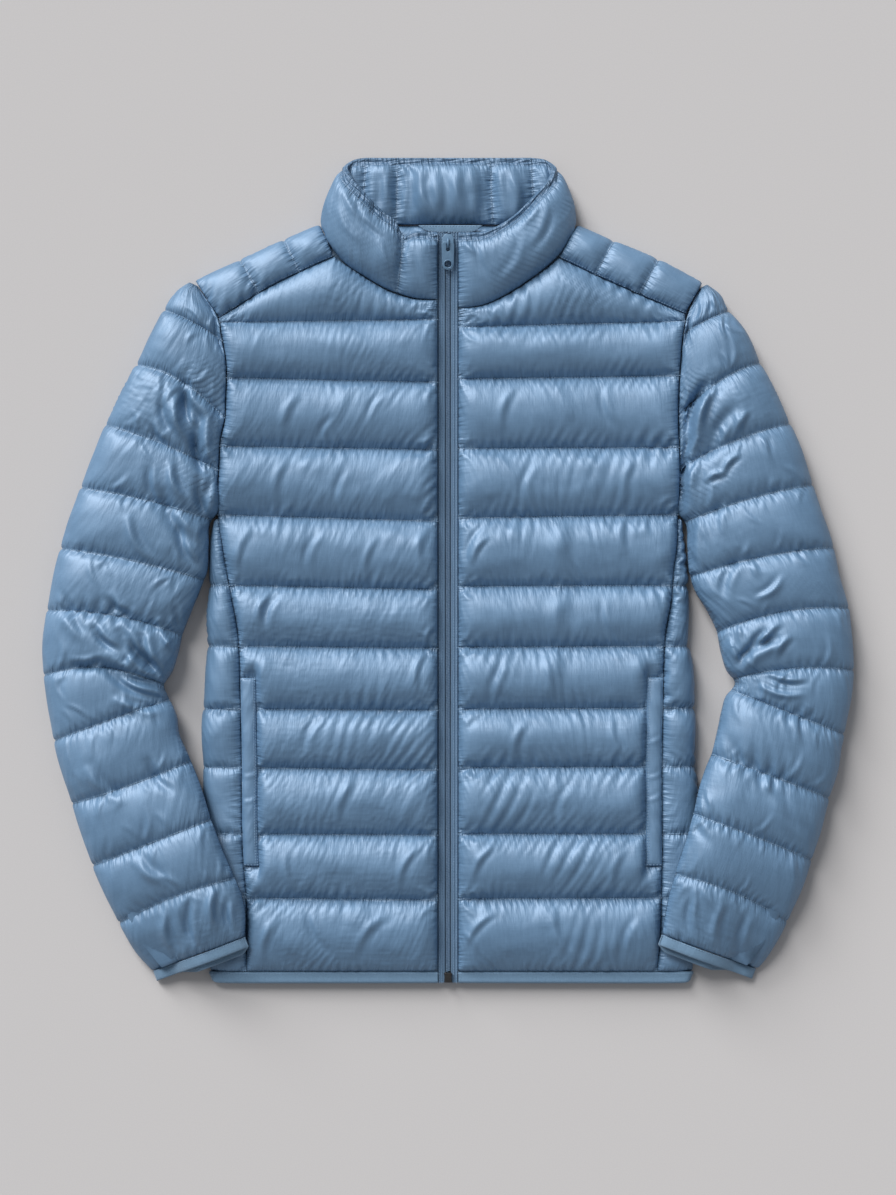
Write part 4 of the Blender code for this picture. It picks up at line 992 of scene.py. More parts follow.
def table_row(lines, line, share):
    """A row of a table part way between two of its lines, eased from line to line."""
    rows = np.array(lines, float)
    at = np.arange(len(rows))
    straight = rows[line] + (rows[min(line + 1, len(rows) - 1)] - rows[line]) * share
    soft = np.array([float(eased(at, rows[:, k], line + share)) for k in range(rows.shape[1])])
    soft[[0, 1, 4, 6]] = straight[[0, 1, 4, 6]]
    return soft


# The large folds from the armhole down to the cuff, as on the fronts, the deepest hollows first
SLEEVE_FOLDS = {
    LEFT: ((-243, 169, -229, 138, -9, 5.5), (-229, 138, -223, 92, -9, 5.5),
           (-220, 80, -223, 49, -8, 5), (-312, -86, -269, -104, -9, 4.5),
           (-299, -57, -266, -91, -8, 5), (-262, 70, -232, 22, -6, 6),
           (-241, 161, -235, 131, -7.2, 3.2), (-232, 120, -225, 89, -7.2, 3.2),
           (-250, 157, -241, 120, 5.8, 3.7), (-262, 161, -254, 127, -4.5, 3.7),
           (-272, 131, -260, 116, -5.4, 2.8), (-228, 83, -224, 51, -5.8, 3.2),
           (-254, 96, -243, 65, 4.9, 3.7), (-274, 92, -267, 60, -4.1, 3.2),
           (-293, 46, -274, 9, 4.1, 4.1), (-247, 37, -232, 4, -5.4, 3.7),
           (-324, -53, -304, -73, -5.8, 3.2), (-343, -87, -320, -84, -4.9, 3.2),
           (-320, -84, -261, -119, -7.2, 3.7), (-281, -61, -258, -104, -7.7, 3.7),
           (-295, -64, -274, -97, 6.2, 3.7), (-265, -46, -245, -78, 6.2, 3.7),
           (-250, -37, -238, -64, -6.2, 3.2), (-311, -27, -291, -42, -4.9, 3.2),
           (-357, -27, -335, -64, 3.6, 4.6), (-302, -119, -265, -130, 5.4, 4.1),
           (-330, -184, -302, -211, 4.1, 4.6), (-274, -175, -254, -202, -4.5, 4.1),
           (-284, -267, -261, -285, 4.5, 4.6), (-215, -294, -214, -326, 5.4, 3.7),
           (-238, -308, -232, -345, -4.9, 3.7), (-260, -317, -254, -349, 4.5, 3.7),
           (-203, -303, -199, -331, -4.9, 3.2)),
    RIGHT: ((233, 168, 220, 108, -9, 4.5), (219, 104, 218, 61, -9, 4.5), (222, 40, 226, 0, -6, 4),
            (300, -62, 268, -84, -7, 4.5), (262, 148, 240, 108, -5, 6),
            (235, 170, 223, 122, -5.1, 3.2), (223, 122, 216, 89, -5.1, 3.2),
            (218, 83, 218, 47, -3.8, 2.8), (243, 168, 232, 124, 3.8, 3.7),
            (264, 105, 251, 89, 3.5, 2.6), (251, 89, 237, 83, 3.5, 2.6),
            (272, 143, 268, 129, 3.3, 2.6), (252, 65, 246, 37, -3, 3.2), (232, 60, 237, 28, 3, 3.2),
            (286, -25, 305, -8, 3.8, 2.8), (264, 9, 252, -24, -3.3, 3.7),
            (294, -54, 275, -73, -4.2, 2.9), (275, -73, 267, -86, -4.5, 2.9),
            (301, -50, 283, -73, 4.2, 2.9), (311, -62, 300, -79, 3.5, 2.8),
            (259, -64, 269, -84, 3.8, 2.8), (292, -98, 327, -104, -3.5, 2.8),
            (287, -107, 324, -114, 3, 2.8), (250, -156, 273, -184, 2.7, 4.6),
            (296, -202, 324, -248, 2.4, 5.5), (223, -211, 236, -248, -3, 4.1),
            (250, -308, 246, -345, 3.3, 3.7), (273, -317, 269, -354, -3.3, 3.7),
            (223, -299, 221, -331, -3, 3.2)),
}


def seam_folds(grid, rows, columns, count, seed):
    """So many short folds off the two sides of each of these rows, more of them towards the first of
    its columns."""
    rng = np.random.default_rng(seed)
    folds = []
    for row in np.repeat(rows, count):
        column = int(4 + columns * rng.uniform() ** 1.6)
        start = grid[row, column, :2]
        beyond = np.clip(row + 10 * rng.choice((-1, 1)), 0, len(grid) - 1)
        run = complex(*(grid[beyond, column, :2] - start))
        run *= np.exp(1j * rng.uniform(-0.75, 0.75)) / abs(run)
        near = rng.uniform(1.5, 6.0)
        far = near + rng.uniform(9.0, 28.0)
        ends = []
        for away in (near, far):
            ends += [start[0] + run.real * away, start[1] + run.imag * away]
        folds.append((*ends, rng.uniform(0.8, 2.0), rng.uniform(1.4, 2.8)))
    return tuple(folds)


def make_sleeve(side):
    lines = sleeve_lines(side)
    rows = line_rows(np.abs(np.diff(lines, axis=0))[:, :2].max(axis=1))
    shares = sleeve_shares()
    shape = []
    for line, share in rows:
        rise = float(swell(share, skew=0.86))
        if line < len(lines) - 1:
            spacing = lines[line][1] - lines[line + 1][1]
            rise *= 0.5 + 0.5 * min(1.0, spacing / 45.0)
        shape.append(sleeve_section(side, table_row(lines, line, share), rise, shares)[0])
    shape = np.array(shape)
    share = np.array(rows)[:, 1]
    sewn = sewn_down(shape, share == 0)
    sewn[:, shares > STILL_PART] = 1.0
    seams = np.flatnonzero(share == 0)[1:-1]
    settled = puff(shape, sewn, 51 + side, gather=0.032, edge_pucker=0.03, slant=0.03)
    short_folds = seam_folds(settled, seams, columns=58, count=9, seed=71 + side)
    settled = above_table(pressed_in(settled, SLEEVE_FOLDS[side] + short_folds))
    inner = thinned(shape, 10)
    middle = inner.mean(axis=1, keepdims=True)
    inner = middle + (inner - middle) * (0.9, 0.9, 0.12)
    piece = join("sleeve_" + SIDE_NAMES[side] + "_quilted", settled, inner, nylon, sewn)
    finish_piece(piece, ["sleeve_" + SIDE_NAMES[side]])
    stitch_rows(settled, seams, slice(0, int(np.argmax(shares > STITCHED_PART))))


for side in (LEFT, RIGHT):
    make_sleeve(side)


# ---------------------------------------------------------------- collar
# The stand collar is one quilted band from zip to zip. Its front half lies over the neck opening
# with its outside up, and its back half lies behind it and shows its inside. Short upright lines
# of stitching divide it, and its upper edge is topstitched.

# Stations from the zip to the middle of the back: lower edge (out, y), upper edge (out, y), degrees
# that the band has turned over, loft outside and inside, 1 where a line of stitching crosses it
COLLAR_LINES = {
    LEFT: ((9.6, 249.4, 9.6, 310.5, 0, 2, 0, 1), (20, 249.7, 18, 311, 0, 7, 0, 0),
           (34, 251.4, 31, 311.5, 0, 8, 0, 0), (47, 255.6, 41, 308, 0, 4.5, 0, 1),
           (56, 259, 47, 319, 0, 10.5, 0, 0), (80, 272.8, 61, 331, 4, 12, 0, 0),
           (95, 283.6, 78, 349, 15, 12, 0, 0), (108, 302, 88, 361, 45, 9, 0, 0),
           (113, 321, 94, 372, 90, 4, 0, 0), (109, 322.5, 91, 377, 135, 0, 1, 0),
           (98, 321.5, 84, 380.4, 180, 0, 4, 0), (80, 320.5, 76, 381.4, 180, 0, 1.5, 1),
           (63, 320, 60, 381.4, 180, 0, 8, 0), (47, 320, 45, 381.4, 180, 0, 1.5, 1),
           (24, 320, 23, 381.4, 180, 0, 8.5, 0)),
    RIGHT: ((9.6, 241.4, 9.6, 310.5, 0, 2, 0, 1), (20, 242.4, 18, 310.5, 0, 7, 0, 0),
            (34, 245, 31, 311, 0, 8.5, 0, 0), (56, 255.5, 50, 319, 0, 10.5, 0, 0),
            (80, 271.4, 66, 331, 4, 12, 0, 0), (95, 284, 83, 349, 15, 12, 0, 0),
            (108, 301, 93, 361, 45, 9, 0, 0), (113.5, 321, 97, 372, 90, 4, 0, 0),
            (110, 322.5, 94, 377, 135, 0, 1, 0), (99, 321.5, 87, 380.4, 180, 0, 4, 0),
            (80, 320.5, 76, 381.4, 180, 0, 1.5, 1), (60, 320, 57, 381.4, 180, 0, 8, 0),
            (42, 320, 40, 381.4, 180, 0, 1.5, 1), (22, 320, 21, 381.4, 180, 0, 8.5, 0)),
}
# Across the band from its lower edge, up the outside, over the top and down the inside: place,
# side (1 outside, -1 inside), share of half the wall, share of the loft
COLLAR_SECTION = ((0.0, 1, 1.0, 0.0), (0.13, 1, 1.0, 0.62), (0.35, 1, 1.0, 1.0),
                  (0.65, 1, 1.0, 0.95), (0.86, 1, 1.0, 0.6), (0.945, 1, 0.85, 0.06),
                  (0.975, 1, 1.0, 0.12), (1.0, 1, 0.6, 0.0), (1.005, 1, 0.0, 0.0),
                  (1.0, -1, 0.6, 0.0), (0.975, -1, 1.0, 0.12), (0.945, -1, 0.85, 0.06),
                  (0.86, -1, 1.0, 0.6), (0.65, -1, 1.0, 1.0), (0.35, -1, 1.0, 1.0),
                  (0.13, -1, 1.0, 0.62), (0.0, -1, 1.0, 0.0))
# Folds of the front half, then the upright ones inside the back half
COLLAR_FOLDS = (
    (-95, 346, -72, 318, 2.2, 3), (-84, 334, -60, 304, -2, 3), (-100, 330, -84, 304, 1.6, 3.4),
    (-62, 300, -44, 268, 1.5, 3.6), (-30, 300, -22, 262, -1.3, 3.4), (14, 305, 25, 291, 2.2, 2.3),
    (26, 300, 36, 270, -1.5, 3.6), (52, 268, 70, 304, 1.6, 4), (80, 296, 96, 332, -2, 3.6),
    (70, 318, 84, 346, 2, 3.4), (-70, 326, -66, 372, -2.3, 4.4), (-54, 372, -50, 330, 2.4, 4.2),
    (-36, 326, -41, 374, -2.4, 4.6), (-24, 374, -18, 326, 2.6, 5), (-4, 326, -9, 372, -2.6, 5),
    (10, 374, 15, 330, 2.4, 4.6), (30, 326, 26, 374, -2.4, 4.6), (50, 374, 54, 328, 2.4, 4.4),
    (69, 326, 64, 372, -2.3, 4.4))
COLLAR_FRONT = (16.0, 22.0)  # mid height of the front half at its lower and at its upper edge
COLLAR_BACK = 2.5  # mid height of the back half
COLLAR_WALL = 5.0
COLLAR_ROWS = 75  # rows of points from the lower edge up the outside and down the inside
COLLAR_INSIDE = 36  # the first of them on the inside
COLLAR_RIM = slice(32, 43)  # those sewn down along the upper edge
TURN_LENGTH = 0.3  # length of band for each degree that it turns


def stations(lines):
    """The table's stations in one row round the neck: x, y, x, y, turn, lofts, and the stitched ones."""
    left = [(-a, b, -c, d, turn, *rest) for a, b, c, d, turn, *rest in lines[LEFT]]
    right = [(a, b, c, d, 360 - turn, *rest) for a, b, c, d, turn, *rest in reversed(lines[RIGHT])]
    return np.array(left + right, float)


def band(table, section, front, back, wall, step, columns):
    """Grid of points of a band: its section, at places close together along the stations."""
    middle = (table[:, 0:2] + table[:, 2:4]) / 2
    steps = np.linalg.norm(np.diff(middle, axis=0), axis=1) + TURN_LENGTH * np.abs(np.diff(table[:, 4]))
    at = np.concatenate([[0], np.cumsum(steps)])
    places = np.linspace(0, at[-1], 2 * round(at[-1] / step / 2) + 1)
    rows = np.stack([eased(at, table[:, k], places) for k in range(7)], axis=-1)
    rows[:, 4] = np.clip(rows[:, 4], 0, 360)
    rows[:, 5:] = np.maximum(rows[:, 5:], 0)
    turn = np.radians(rows[:, 4])
    normal = np.stack([-np.sin(turn), np.cos(turn)], axis=-1)
    result = []
    for place, face, half, share in section:
        edge = rows[:, 0:2] + (rows[:, 2:4] - rows[:, 0:2]) * place
        front_height = front[0] + (front[1] - front[0]) * place
        level = (front_height + back) / 2 + (front_height - back) / 2 * np.cos(turn)
        loft = rows[:, 5] if face > 0 else rows[:, 6]
        off = face * (half * wall / 2 + share * loft)
        place = [edge[:, 0] + normal[:, 0] * off, edge[:, 1], level + normal[:, 1] * off]
        result.append(np.stack(place, axis=-1))
    result = np.array(result)
    grid = np.stack([chain(result[:, k], np.linspace(0, 1, columns)) for k in range(len(places))], axis=1)
    return above_table(grid), at, places


collar_table = stations(COLLAR_LINES)
collar_shape, collar_at, collar_places = band(collar_table, COLLAR_SECTION, COLLAR_FRONT, COLLAR_BACK,
                                              COLLAR_WALL, GRAIN, COLLAR_ROWS)
collar_sewn = sewn_down(collar_shape)
collar_stitched = [2 * int(np.argmin(np.abs(collar_places[::2] - at)))
                   for at, row in zip(collar_at, collar_table) if row[7]]
for column in collar_stitched:
    station = int(np.argmin(np.abs(collar_at - collar_places[column])))
    outside_shows = collar_table[station, 4] in (0, 360)
    collar_sewn[0 if outside_shows else COLLAR_INSIDE:, column] = 1.0
collar_sewn[COLLAR_RIM] = 1.0
collar_settled = puff(collar_shape, collar_sewn, 61, gather=0.02, pucker=0.06, edge_pucker=0.03, slant=0.04)
collar_settled = above_table(pressed_in(collar_settled, COLLAR_FOLDS))
collar_core = collar_shape[[2, -3]] * 0.8 + collar_shape[[-3, 2]] * 0.2
collar = join("stand_collar", collar_settled, collar_core, nylon, collar_sewn)
finish_piece(collar, ["collar"])
for column in collar_stitched[1:-1]:
    outside_shows = collar_sewn[COLLAR_INSIDE // 2, column] > 0
    seen = slice(2, COLLAR_INSIDE) if outside_shows else slice(COLLAR_INSIDE + 2, COLLAR_ROWS - 2)
    stitch_columns(collar_settled, [column], seen)
stitch_rows(collar_settled, (COLLAR_RIM.start,))

# ---------------------------------------------------------------- hem and cuff bindings
# A soft stretch tape is folded round the raw edge of the hem and of each cuff and stitched through
# close to its upper edge, which draws the edge in a little.

HEM_TOP = -370.4
HEM_CORNER = {LEFT: 211, RIGHT: 217}  # how far out the hem begins to turn under the body


def hem_lines(corner):
    """Half of the hem's stations, as the collar's, from the zip round the side to the back."""
    plan = ((9.6, -381.4, 9.6, 0), (110, -381.6, 110, 0), (corner, -381.2, corner + 3, 0),
            (corner + 3, -380.8, corner + 6.5, 45), (corner + 4, -380.2, corner + 8, 90),
            (corner + 3, -380.8, corner + 6.5, 135), (corner, -381.2, corner + 3, 180),
            (110, -381.4, 110, 180))
    return [(x, y, top_x, HEM_TOP, turn, 0, 0, 0) for x, y, top_x, turn in plan]


HEM_SECTION = ((1.0, 1, 0.72, 0.0), (0.93, 1, 1.0, 0.0), (0.5, 1, 1.1, 0.0), (0.08, 1, 0.95, 0.0),
               (0.0, 1, 0.0, 0.0), (0.08, -1, 0.95, 0.0), (0.5, -1, 1.0, 0.0), (0.93, -1, 1.0, 0.0))
HEM_LEVEL = 8.2
HEM_BACK = 2.2
HEM_WALL = 4.4
TAPE_CLOTH = 0.5  # thickness of the binding's cloth


def make_binding():
    """Matt stretch tape: a knit of fine ribs with a faint fuzz."""
    material, tree, shader = new_material("binding_tape", 0.78)
    place = cloth_place(tree)
    weave = add_weave(tree, place, 0.0009, 0.1)
    fuzz = stretched_noise(tree, place, 0.0013, 0.0013, 3.0)
    wrinkle = maths(tree, "MULTIPLY", stretched_noise(tree, place, 0.004, 0.02, 2.0), 0.0006)
    height = added(tree, weave["Height"], wrinkle, maths(tree, "MULTIPLY", fuzz, 0.0002))
    factor = maths(tree, "MULTIPLY", added(tree, weave["Shade"], fuzz), 0.5)
    shade_cloth(tree, shader, (0.11, 0.2, 0.31), (0.185, 0.305, 0.435), factor, height)
    shader.inputs["Specular IOR Level"].default_value = 0.3
    shader.inputs["Sheen Weight"].default_value = 0.3
    shader.inputs["Sheen Roughness"].default_value = 0.5
    return material


binding = make_binding()


def lay_cloth(name, grid, thickness, material):
    """A thin closed wall of cloth with a grid of points as its outer face."""
    inner = grid - face_out(grid) * facing(grid) * thickness
    return join(name, grid, above_table(inner), material)


hem_stations = stations({side: hem_lines(corner) for side, corner in HEM_CORNER.items()})
hem_grid = band(hem_stations, HEM_SECTION, (HEM_LEVEL, HEM_LEVEL), HEM_BACK, HEM_WALL, 3.0, 21)[0]
hem = lay_cloth("hem_tape", hem_grid, TAPE_CLOTH, binding)
finish_piece(hem, ["hem_binding"])
stitch_rows(hem_grid, (2,))

# How far down the sleeve each line of a cuff's tape lies, and how far in from its outer face
CUFF_SECTION = ((0.6, 0.35), (1.4, 0.0), (3.5, -0.15), (7.0, -0.15), (9.4, 0.0), (10.3, 0.5),
                (10.5, 1.0), (10.3, 1.5), (9.4, 1.9), (5.0, 2.0), (1.0, 2.0))
CUFF_COLUMNS = 121


def make_cuff(side):
    shares = np.linspace(0, 1, CUFF_COLUMNS)
    ring, down = sleeve_section(side, np.array(sleeve_lines(side)[-1], float), 0.0, shares)
    # 1 along the under side, 0 on top
    under = np.clip((shares - 0.6) / 0.12, 0, 1) * np.clip((1.0 - shares) / 0.04, 0, 1)
    grid = []
    for far, inset in CUFF_SECTION:
        points = ring.copy()
        points[:, :2] += down * (far + CUFF_REACH * under * min(1.0, far / 4.0))[:, None]
        points[:, 2] += np.where(shares < TOP_COLUMNS, -inset, inset) + TAPE_CLOTH
        grid.append(points)
    grid = np.array(grid)
    piece = lay_cloth("cuff_tape_" + SIDE_NAMES[side], grid, TAPE_CLOTH, binding)
    finish_piece(piece, ["cuff_binding_" + SIDE_NAMES[side]])
    stitch_rows(grid, (1,), slice(0, int(TOP_COLUMNS * (CUFF_COLUMNS - 1))))


for side in (LEFT, RIGHT):
    make_cuff(side)

# ---------------------------------------------------------------- back
# The back panel lies on the table under everything else, so its outer channels are pressed flat and
# only shallow grooves are left along its lines of stitching. Its lining shows inside the neck.

BACK_LINES = (-370, -303, -243, -182, -128, -70, -16, 48, 112, 176, 228, 280, 319)
BACK_TOP = {
    LEFT: ((256, 225), (273.2, 183.5), (295.8, 141), (303, 120), (303.5, 101), (319, 93)),
    RIGHT: ((254, 227), (274.2, 188), (295.8, 141), (303, 120), (303.5, 101), (319, 93)),
}
BACK_LINING = ((-370, 5.0), (-302, 11.0), (-243, 12.0))  # y, and height of the back's inner face
GROOVE = 1.6
BACK_FOOT = 0.5  # share of the turned-over edge that reaches under the body
BACK_COLUMNS = 61


def back_edge(side, y):
    """How far out the back reaches at this y."""
    rows = []
    for edge_y, edge_out in BODY_EDGE[side][:-1]:
        start = float(np.interp(edge_y, *zip(*SIDE_SEAM[side])))
        rows.append((edge_y, edge_out - min(edge_out - start, EDGE_FOOT) * BACK_FOOT - SEAM_GAP))
    rows += [(arm_y, out - SEAM_GAP) for arm_y, out in ARMHOLE[side] if arm_y < BACK_TOP[side][0][0] - 4.0]
    rows += list(BACK_TOP[side])
    return np.interp(y, *zip(*rows))


def make_back():
    under = []
    over = []
    rows = line_rows(np.diff(BACK_LINES))[::2] + [(len(BACK_LINES) - 1, 0.0)]
    share_across = np.linspace(0, 1, BACK_COLUMNS)
    rng = np.random.default_rng(71)
    uneven = mottle(rng, len(rows), BACK_COLUMNS, 3, 2.5)
    for (line, share), ripple in zip(rows, uneven):
        y = BACK_LINES[line]
        if share:
            y = y + (BACK_LINES[line + 1] - y) * share
        x = -back_edge(LEFT, y) + (back_edge(LEFT, y) + back_edge(RIGHT, y)) * share_across
        groove = (1.0 - swell(share, 1.0, 5.0)) * GROOVE * np.clip(1.0 + 0.35 * ripple, 0.3, 1.6)
        lining = np.interp(y, *zip(*BACK_LINING))
        for grid, level in ((under, groove), (over, np.full_like(x, lining))):
            grid.append(np.column_stack([x, np.full_like(x, y), level]))
    piece = join("back_panel", np.array(under), np.array(over)[::4], nylon)
    finish_piece(piece, ["back"])


make_back()

# ---------------------------------------------------------------- pocket welts
# Each side pocket is closed by a folded welt of the same nylon with a light interlining. It is
# stitched down along its inner edge, and its folded edge lies along the side seam.

WELT_THICKNESS = 2.4
WELT_STEP = 1.7
FRONT_STRIP = 17.0  # width of the strip of the front that the welt is measured off
# Ends of each fold across a welt in plan, height and half width
WELT_CREASES = {
    LEFT: ((-189, -190, -173, -185, 0.9, 2.0), (-190, -213, -175, -209, 1.0, 1.8),
           (-186, -150, -178, -128, 0.5, 2.4), (-188, -250, -176, -238, 0.5, 2.6)),
    RIGHT: ((182, -159, 197, -153, 0.9, 2.0), (183, -191, 197, -186, 0.9, 1.8),
            (182, -212, 196, -206, 1.1, 2.0), (186, -245, 192, -226, 0.5, 2.4)),
}


def make_welt(side):
    plan, rows, across = front_grid(side)
    far = across * FRONT_WIDTH
    at = rows.sum(axis=1)
    covered = plan[(at >= WELT_ROWS[0]) & (at <= WELT_ROWS[1])][:, [0, np.argmax(far > WELT_WIDTH)]]
    columns = np.linspace(0, 1, 11)[None, :, None]
    strip = chain_rows(covered, WELT_STEP)
    strip = strip[:, :1] + (strip[:, 1:] - strip[:, :1]) * columns * (WELT_WIDTH / FRONT_STRIP)
    base = SEAM_HEIGHT + 1.4 + drop_at(strip[..., 1])
    ends = np.minimum(np.arange(len(strip)), np.arange(len(strip))[::-1])[:, None] * WELT_STEP
    across = columns[..., 0]
    bulge = rounded(np.minimum(across, 1 - across) * WELT_WIDTH / 1.6) * rounded(ends / 1.4)
    crown = 0.5 * np.sin(math.pi * across)
    shape = pressed_in(with_height(strip, base + WELT_THICKNESS * bulge + crown), WELT_CREASES[side])
    sewn = sewn_down(shape)
    sewn[:, 1] = 1.0
    settled = puff(shape, sewn, 81 + side, gather=0.004, pucker=0.01, edge_pucker=0.015, reach=3.0)
    name = "pocket_welt_" + SIDE_NAMES[side]
    piece = join(name + "_folded", settled, with_height(strip, base)[::4], nylon)
    finish_piece(piece, [name])
    stitch_columns(settled, (-2, -3))
    stitch_rows(settled, (1, -2), slice(1, -1))


def chain_rows(points, step):
    """A grid whose columns are smooth chains through these points, with rows this far apart."""
    shares = np.linspace(0, 1, 2 * round(length_of(points[:, 0]) / step / 2) + 1)
    return np.stack([chain(points[:, k], shares) for k in range(points.shape[1])], axis=1)


for side in (LEFT, RIGHT):
    make_welt(side)

# ---------------------------------------------------------------- zip tapes
# Two woven polyester tapes carry the coil. Each is topstitched to its front through a rib close to
# the edge, and a second rib of chain stitch holds the coil.

ZIP_PATH = ((-380.8, 6.4), (-302, 12.4), (-243, 13.3), (0, 13.3), (249, 13.4), (310.5, 19.8))
RUN_ON = 40  # how far both ends of the path are carried on, and what they fall and rise over that
END_FALL = 3.05
END_RISE = 4.16
# Section of a tape: distance out, height above its underside
TAPE_SECTION = (
    (2.7, 0.5), (2.7, 1.55), (3.2, 1.95), (4.1, 1.75), (4.9, 1.6), (5.4, 2.0), (5.9, 1.6), (6.9, 1.55),
    (7.5, 1.75), (8.0, 1.95), (8.6, 1.75), (9.1, 1.5), (9.3, 0.9), (9.3, 0.4))
TAPE_EDGES = (2.7, 9.3)
TAPE_RIBS = (5.4, 8.0)
TAPE_STEP = 2.0


def zip_level(y):
    """Height of the underside of the zip's tapes, eased from bend to bend."""
    ys, heights = zip(*ZIP_PATH)
    ys = (ys[0] - RUN_ON,) + ys[1:-1] + (ys[-1] + RUN_ON,)
    heights = (heights[0] - END_FALL,) + heights[1:-1] + (heights[-1] + END_RISE,)
    return np.mean([np.interp(np.asarray(y) + near, ys, heights) for near in (-12, -6, 0, 6, 12)], axis=0)


def make_tape_cloth(name, dark, light, thread, roughness):
    material, tree, shader = new_material(name, roughness)
    place = cloth_place(tree)
    weave = add_weave(tree, place, thread, 0.12)
    fuzz = stretched_noise(tree, place, 0.0016, 0.0016, 3.0)
    height = added(tree, weave["Height"], maths(tree, "MULTIPLY", fuzz, 0.00025))
    factor = maths(tree, "MULTIPLY", weave["Shade"], 0.6)
    factor = added(tree, factor, maths(tree, "MULTIPLY", fuzz, 0.5))
    shade_cloth(tree, shader, dark, light, factor, height)
    shader.inputs["Specular IOR Level"].default_value = 0.3
    shader.inputs["Sheen Weight"].default_value = 0.25
    shader.inputs["Sheen Roughness"].default_value = 0.5
    return material


tape_cloth = make_tape_cloth("zip_tape_weave", (0.045, 0.1, 0.18), (0.165, 0.28, 0.42), 0.0011, 0.6)


def make_tape(side):
    low = ZIP_PATH[0][0]
    high = ZIP_PATH[-1][0]
    y = np.linspace(low, high, round((high - low) / TAPE_STEP) + 1)
    rng = np.random.default_rng(91 + side)
    waver = mottle(rng, 3, len(y), 3, 6)[1]
    grid = []
    for out, rise in TAPE_SECTION:
        sway = 0.12 * waver * np.clip((TAPE_EDGES[1] - out) / 2.0, 0, 1)
        level = zip_level(y) + rise + sway * (rise > 1)
        grid.append(np.column_stack([side * (out + sway * 0.5), y, level]))
    grid = np.array(grid).transpose(1, 0, 2)
    inner = np.array([[(side * out, at, float(zip_level(at)) + 0.1) for out in TAPE_EDGES]
                      for at in grid[::6, 0, 1]])
    piece = join("zip_tape_" + SIDE_NAMES[side] + "_woven", grid, inner, tape_cloth)
    finish_piece(piece, ["zip_tape_" + SIDE_NAMES[side]])
    places = [out for out, _ in TAPE_SECTION]
    stitch_columns(grid, [places.index(rib) for rib in TAPE_RIBS])


for side in (LEFT, RIGHT):
    make_tape(side)

# ---------------------------------------------------------------- zip coil and bottom stop
# The closed coil is two rows of nylon loops that mesh on the middle line over a cord. At the hem a
# dark metal box clamps both tapes.

COIL_END = -371.0
COIL_PITCH = 1.5
CORD_SIZE = (1.9, 0.75)  # half width and half height of the coil's core
CORD_RISE = 0.95
LOOP_PLACE = (0.95, 1.75)  # how far out and how high a loop lies
STOP_SIZE = (7.6, 9.0, 2.8)
STOP_GAP = 0.4
STOP_RISE = 2.3


def turns(count):
    """So many even angles round a circle."""
    return np.linspace(0, 2 * math.pi, count, endpoint=False)


def ring_mesh(name, rings):
    """A closed skin over rings that all have the same number of points, in mm."""
    rings = np.asarray(rings, float)
    count, around = rings.shape[:2]
    index = np.arange(count * around).reshape(count, around)
    faces = []
    for low, high in zip(index, index[1:]):
        faces += np.stack([low, np.roll(low, -1), np.roll(high, -1), high], axis=-1).tolist()
    faces += [index[0][::-1].tolist(), index[-1].tolist()]
    mesh = bpy.data.meshes.new(name)
    mesh.from_pydata((rings.reshape(-1, 3) * MM).tolist(), [], faces)
    turn_faces_out(mesh)
    return mesh


def bead(name, half, around):
    """A small thread or wire along x, alike both ways: x, half width, half height and height of the
    rings of its first half."""
    turn = turns(around)
    both = (*half, *((-x, *size) for x, *size in reversed(half)))
    rings = [np.column_stack([np.full(around, x), wide * np.cos(turn), up + tall * np.sin(turn)])
             for x, wide, tall, up in both]
    return ring_mesh(name, rings)


def make_repeat_group():
    """Geometry nodes that set one small shape after another along lines, turned with them and up."""
    inputs = (("Geometry", "Geometry"), ("Shape", "Object"), ("Pitch", "Float"), ("Unevenness", "Float"),
              ("Seed", "Int"), ("Material", "Material"))
    group, given, results = new_group("repeat_along_lines", inputs, (("Geometry", "Geometry"),),
                                      "GeometryNodeTree")
    lines = node(group, "GeometryNodeMeshToCurve", {"Mesh": given["Geometry"]}).outputs["Curve"]
    values = {"Curve": lines, "Length": given["Pitch"]}
    spaced = node(group, "GeometryNodeResampleCurve", values, mode="LENGTH")
    shape = node(group, "GeometryNodeObjectInfo", {"Object": given["Shape"]}).outputs["Geometry"]
    tangent = group.nodes.new("GeometryNodeInputTangent").outputs["Tangent"]
    upward = node(group, "GeometryNodeInputNamedAttribute", {"Name": "up"}, data_type="FLOAT_VECTOR")
    turned = node(group, "FunctionNodeAlignRotationToVector", {"Vector": tangent}, axis="X")
    values = {"Rotation": turned.outputs["Rotation"], "Vector": upward.outputs["Attribute"]}
    turned = node(group, "FunctionNodeAlignRotationToVector", values, axis="Z", pivot_axis="X")
    least = maths(group, "SUBTRACT", 1.0, given["Unevenness"])
    most = maths(group, "ADD", 1.0, given["Unevenness"])
    values = {"Min": least, "Max": most, "Seed": given["Seed"]}
    size = node(group, "FunctionNodeRandomValue", values, data_type="FLOAT_VECTOR")
    values = {"Points": spaced.outputs["Curve"], "Instance": shape,
              "Rotation": turned.outputs["Rotation"], "Scale": size.outputs[0]}
    placed = node(group, "GeometryNodeInstanceOnPoints", values)
    real = node(group, "GeometryNodeRealizeInstances", {"Geometry": placed.outputs["Instances"]})
    values = {"Geometry": real.outputs["Geometry"], "Material": given["Material"]}
    dressed = node(group, "GeometryNodeSetMaterial", values)
    group.links.new(dressed.outputs["Geometry"], results["Geometry"])
    return group


repeat_group = make_repeat_group()


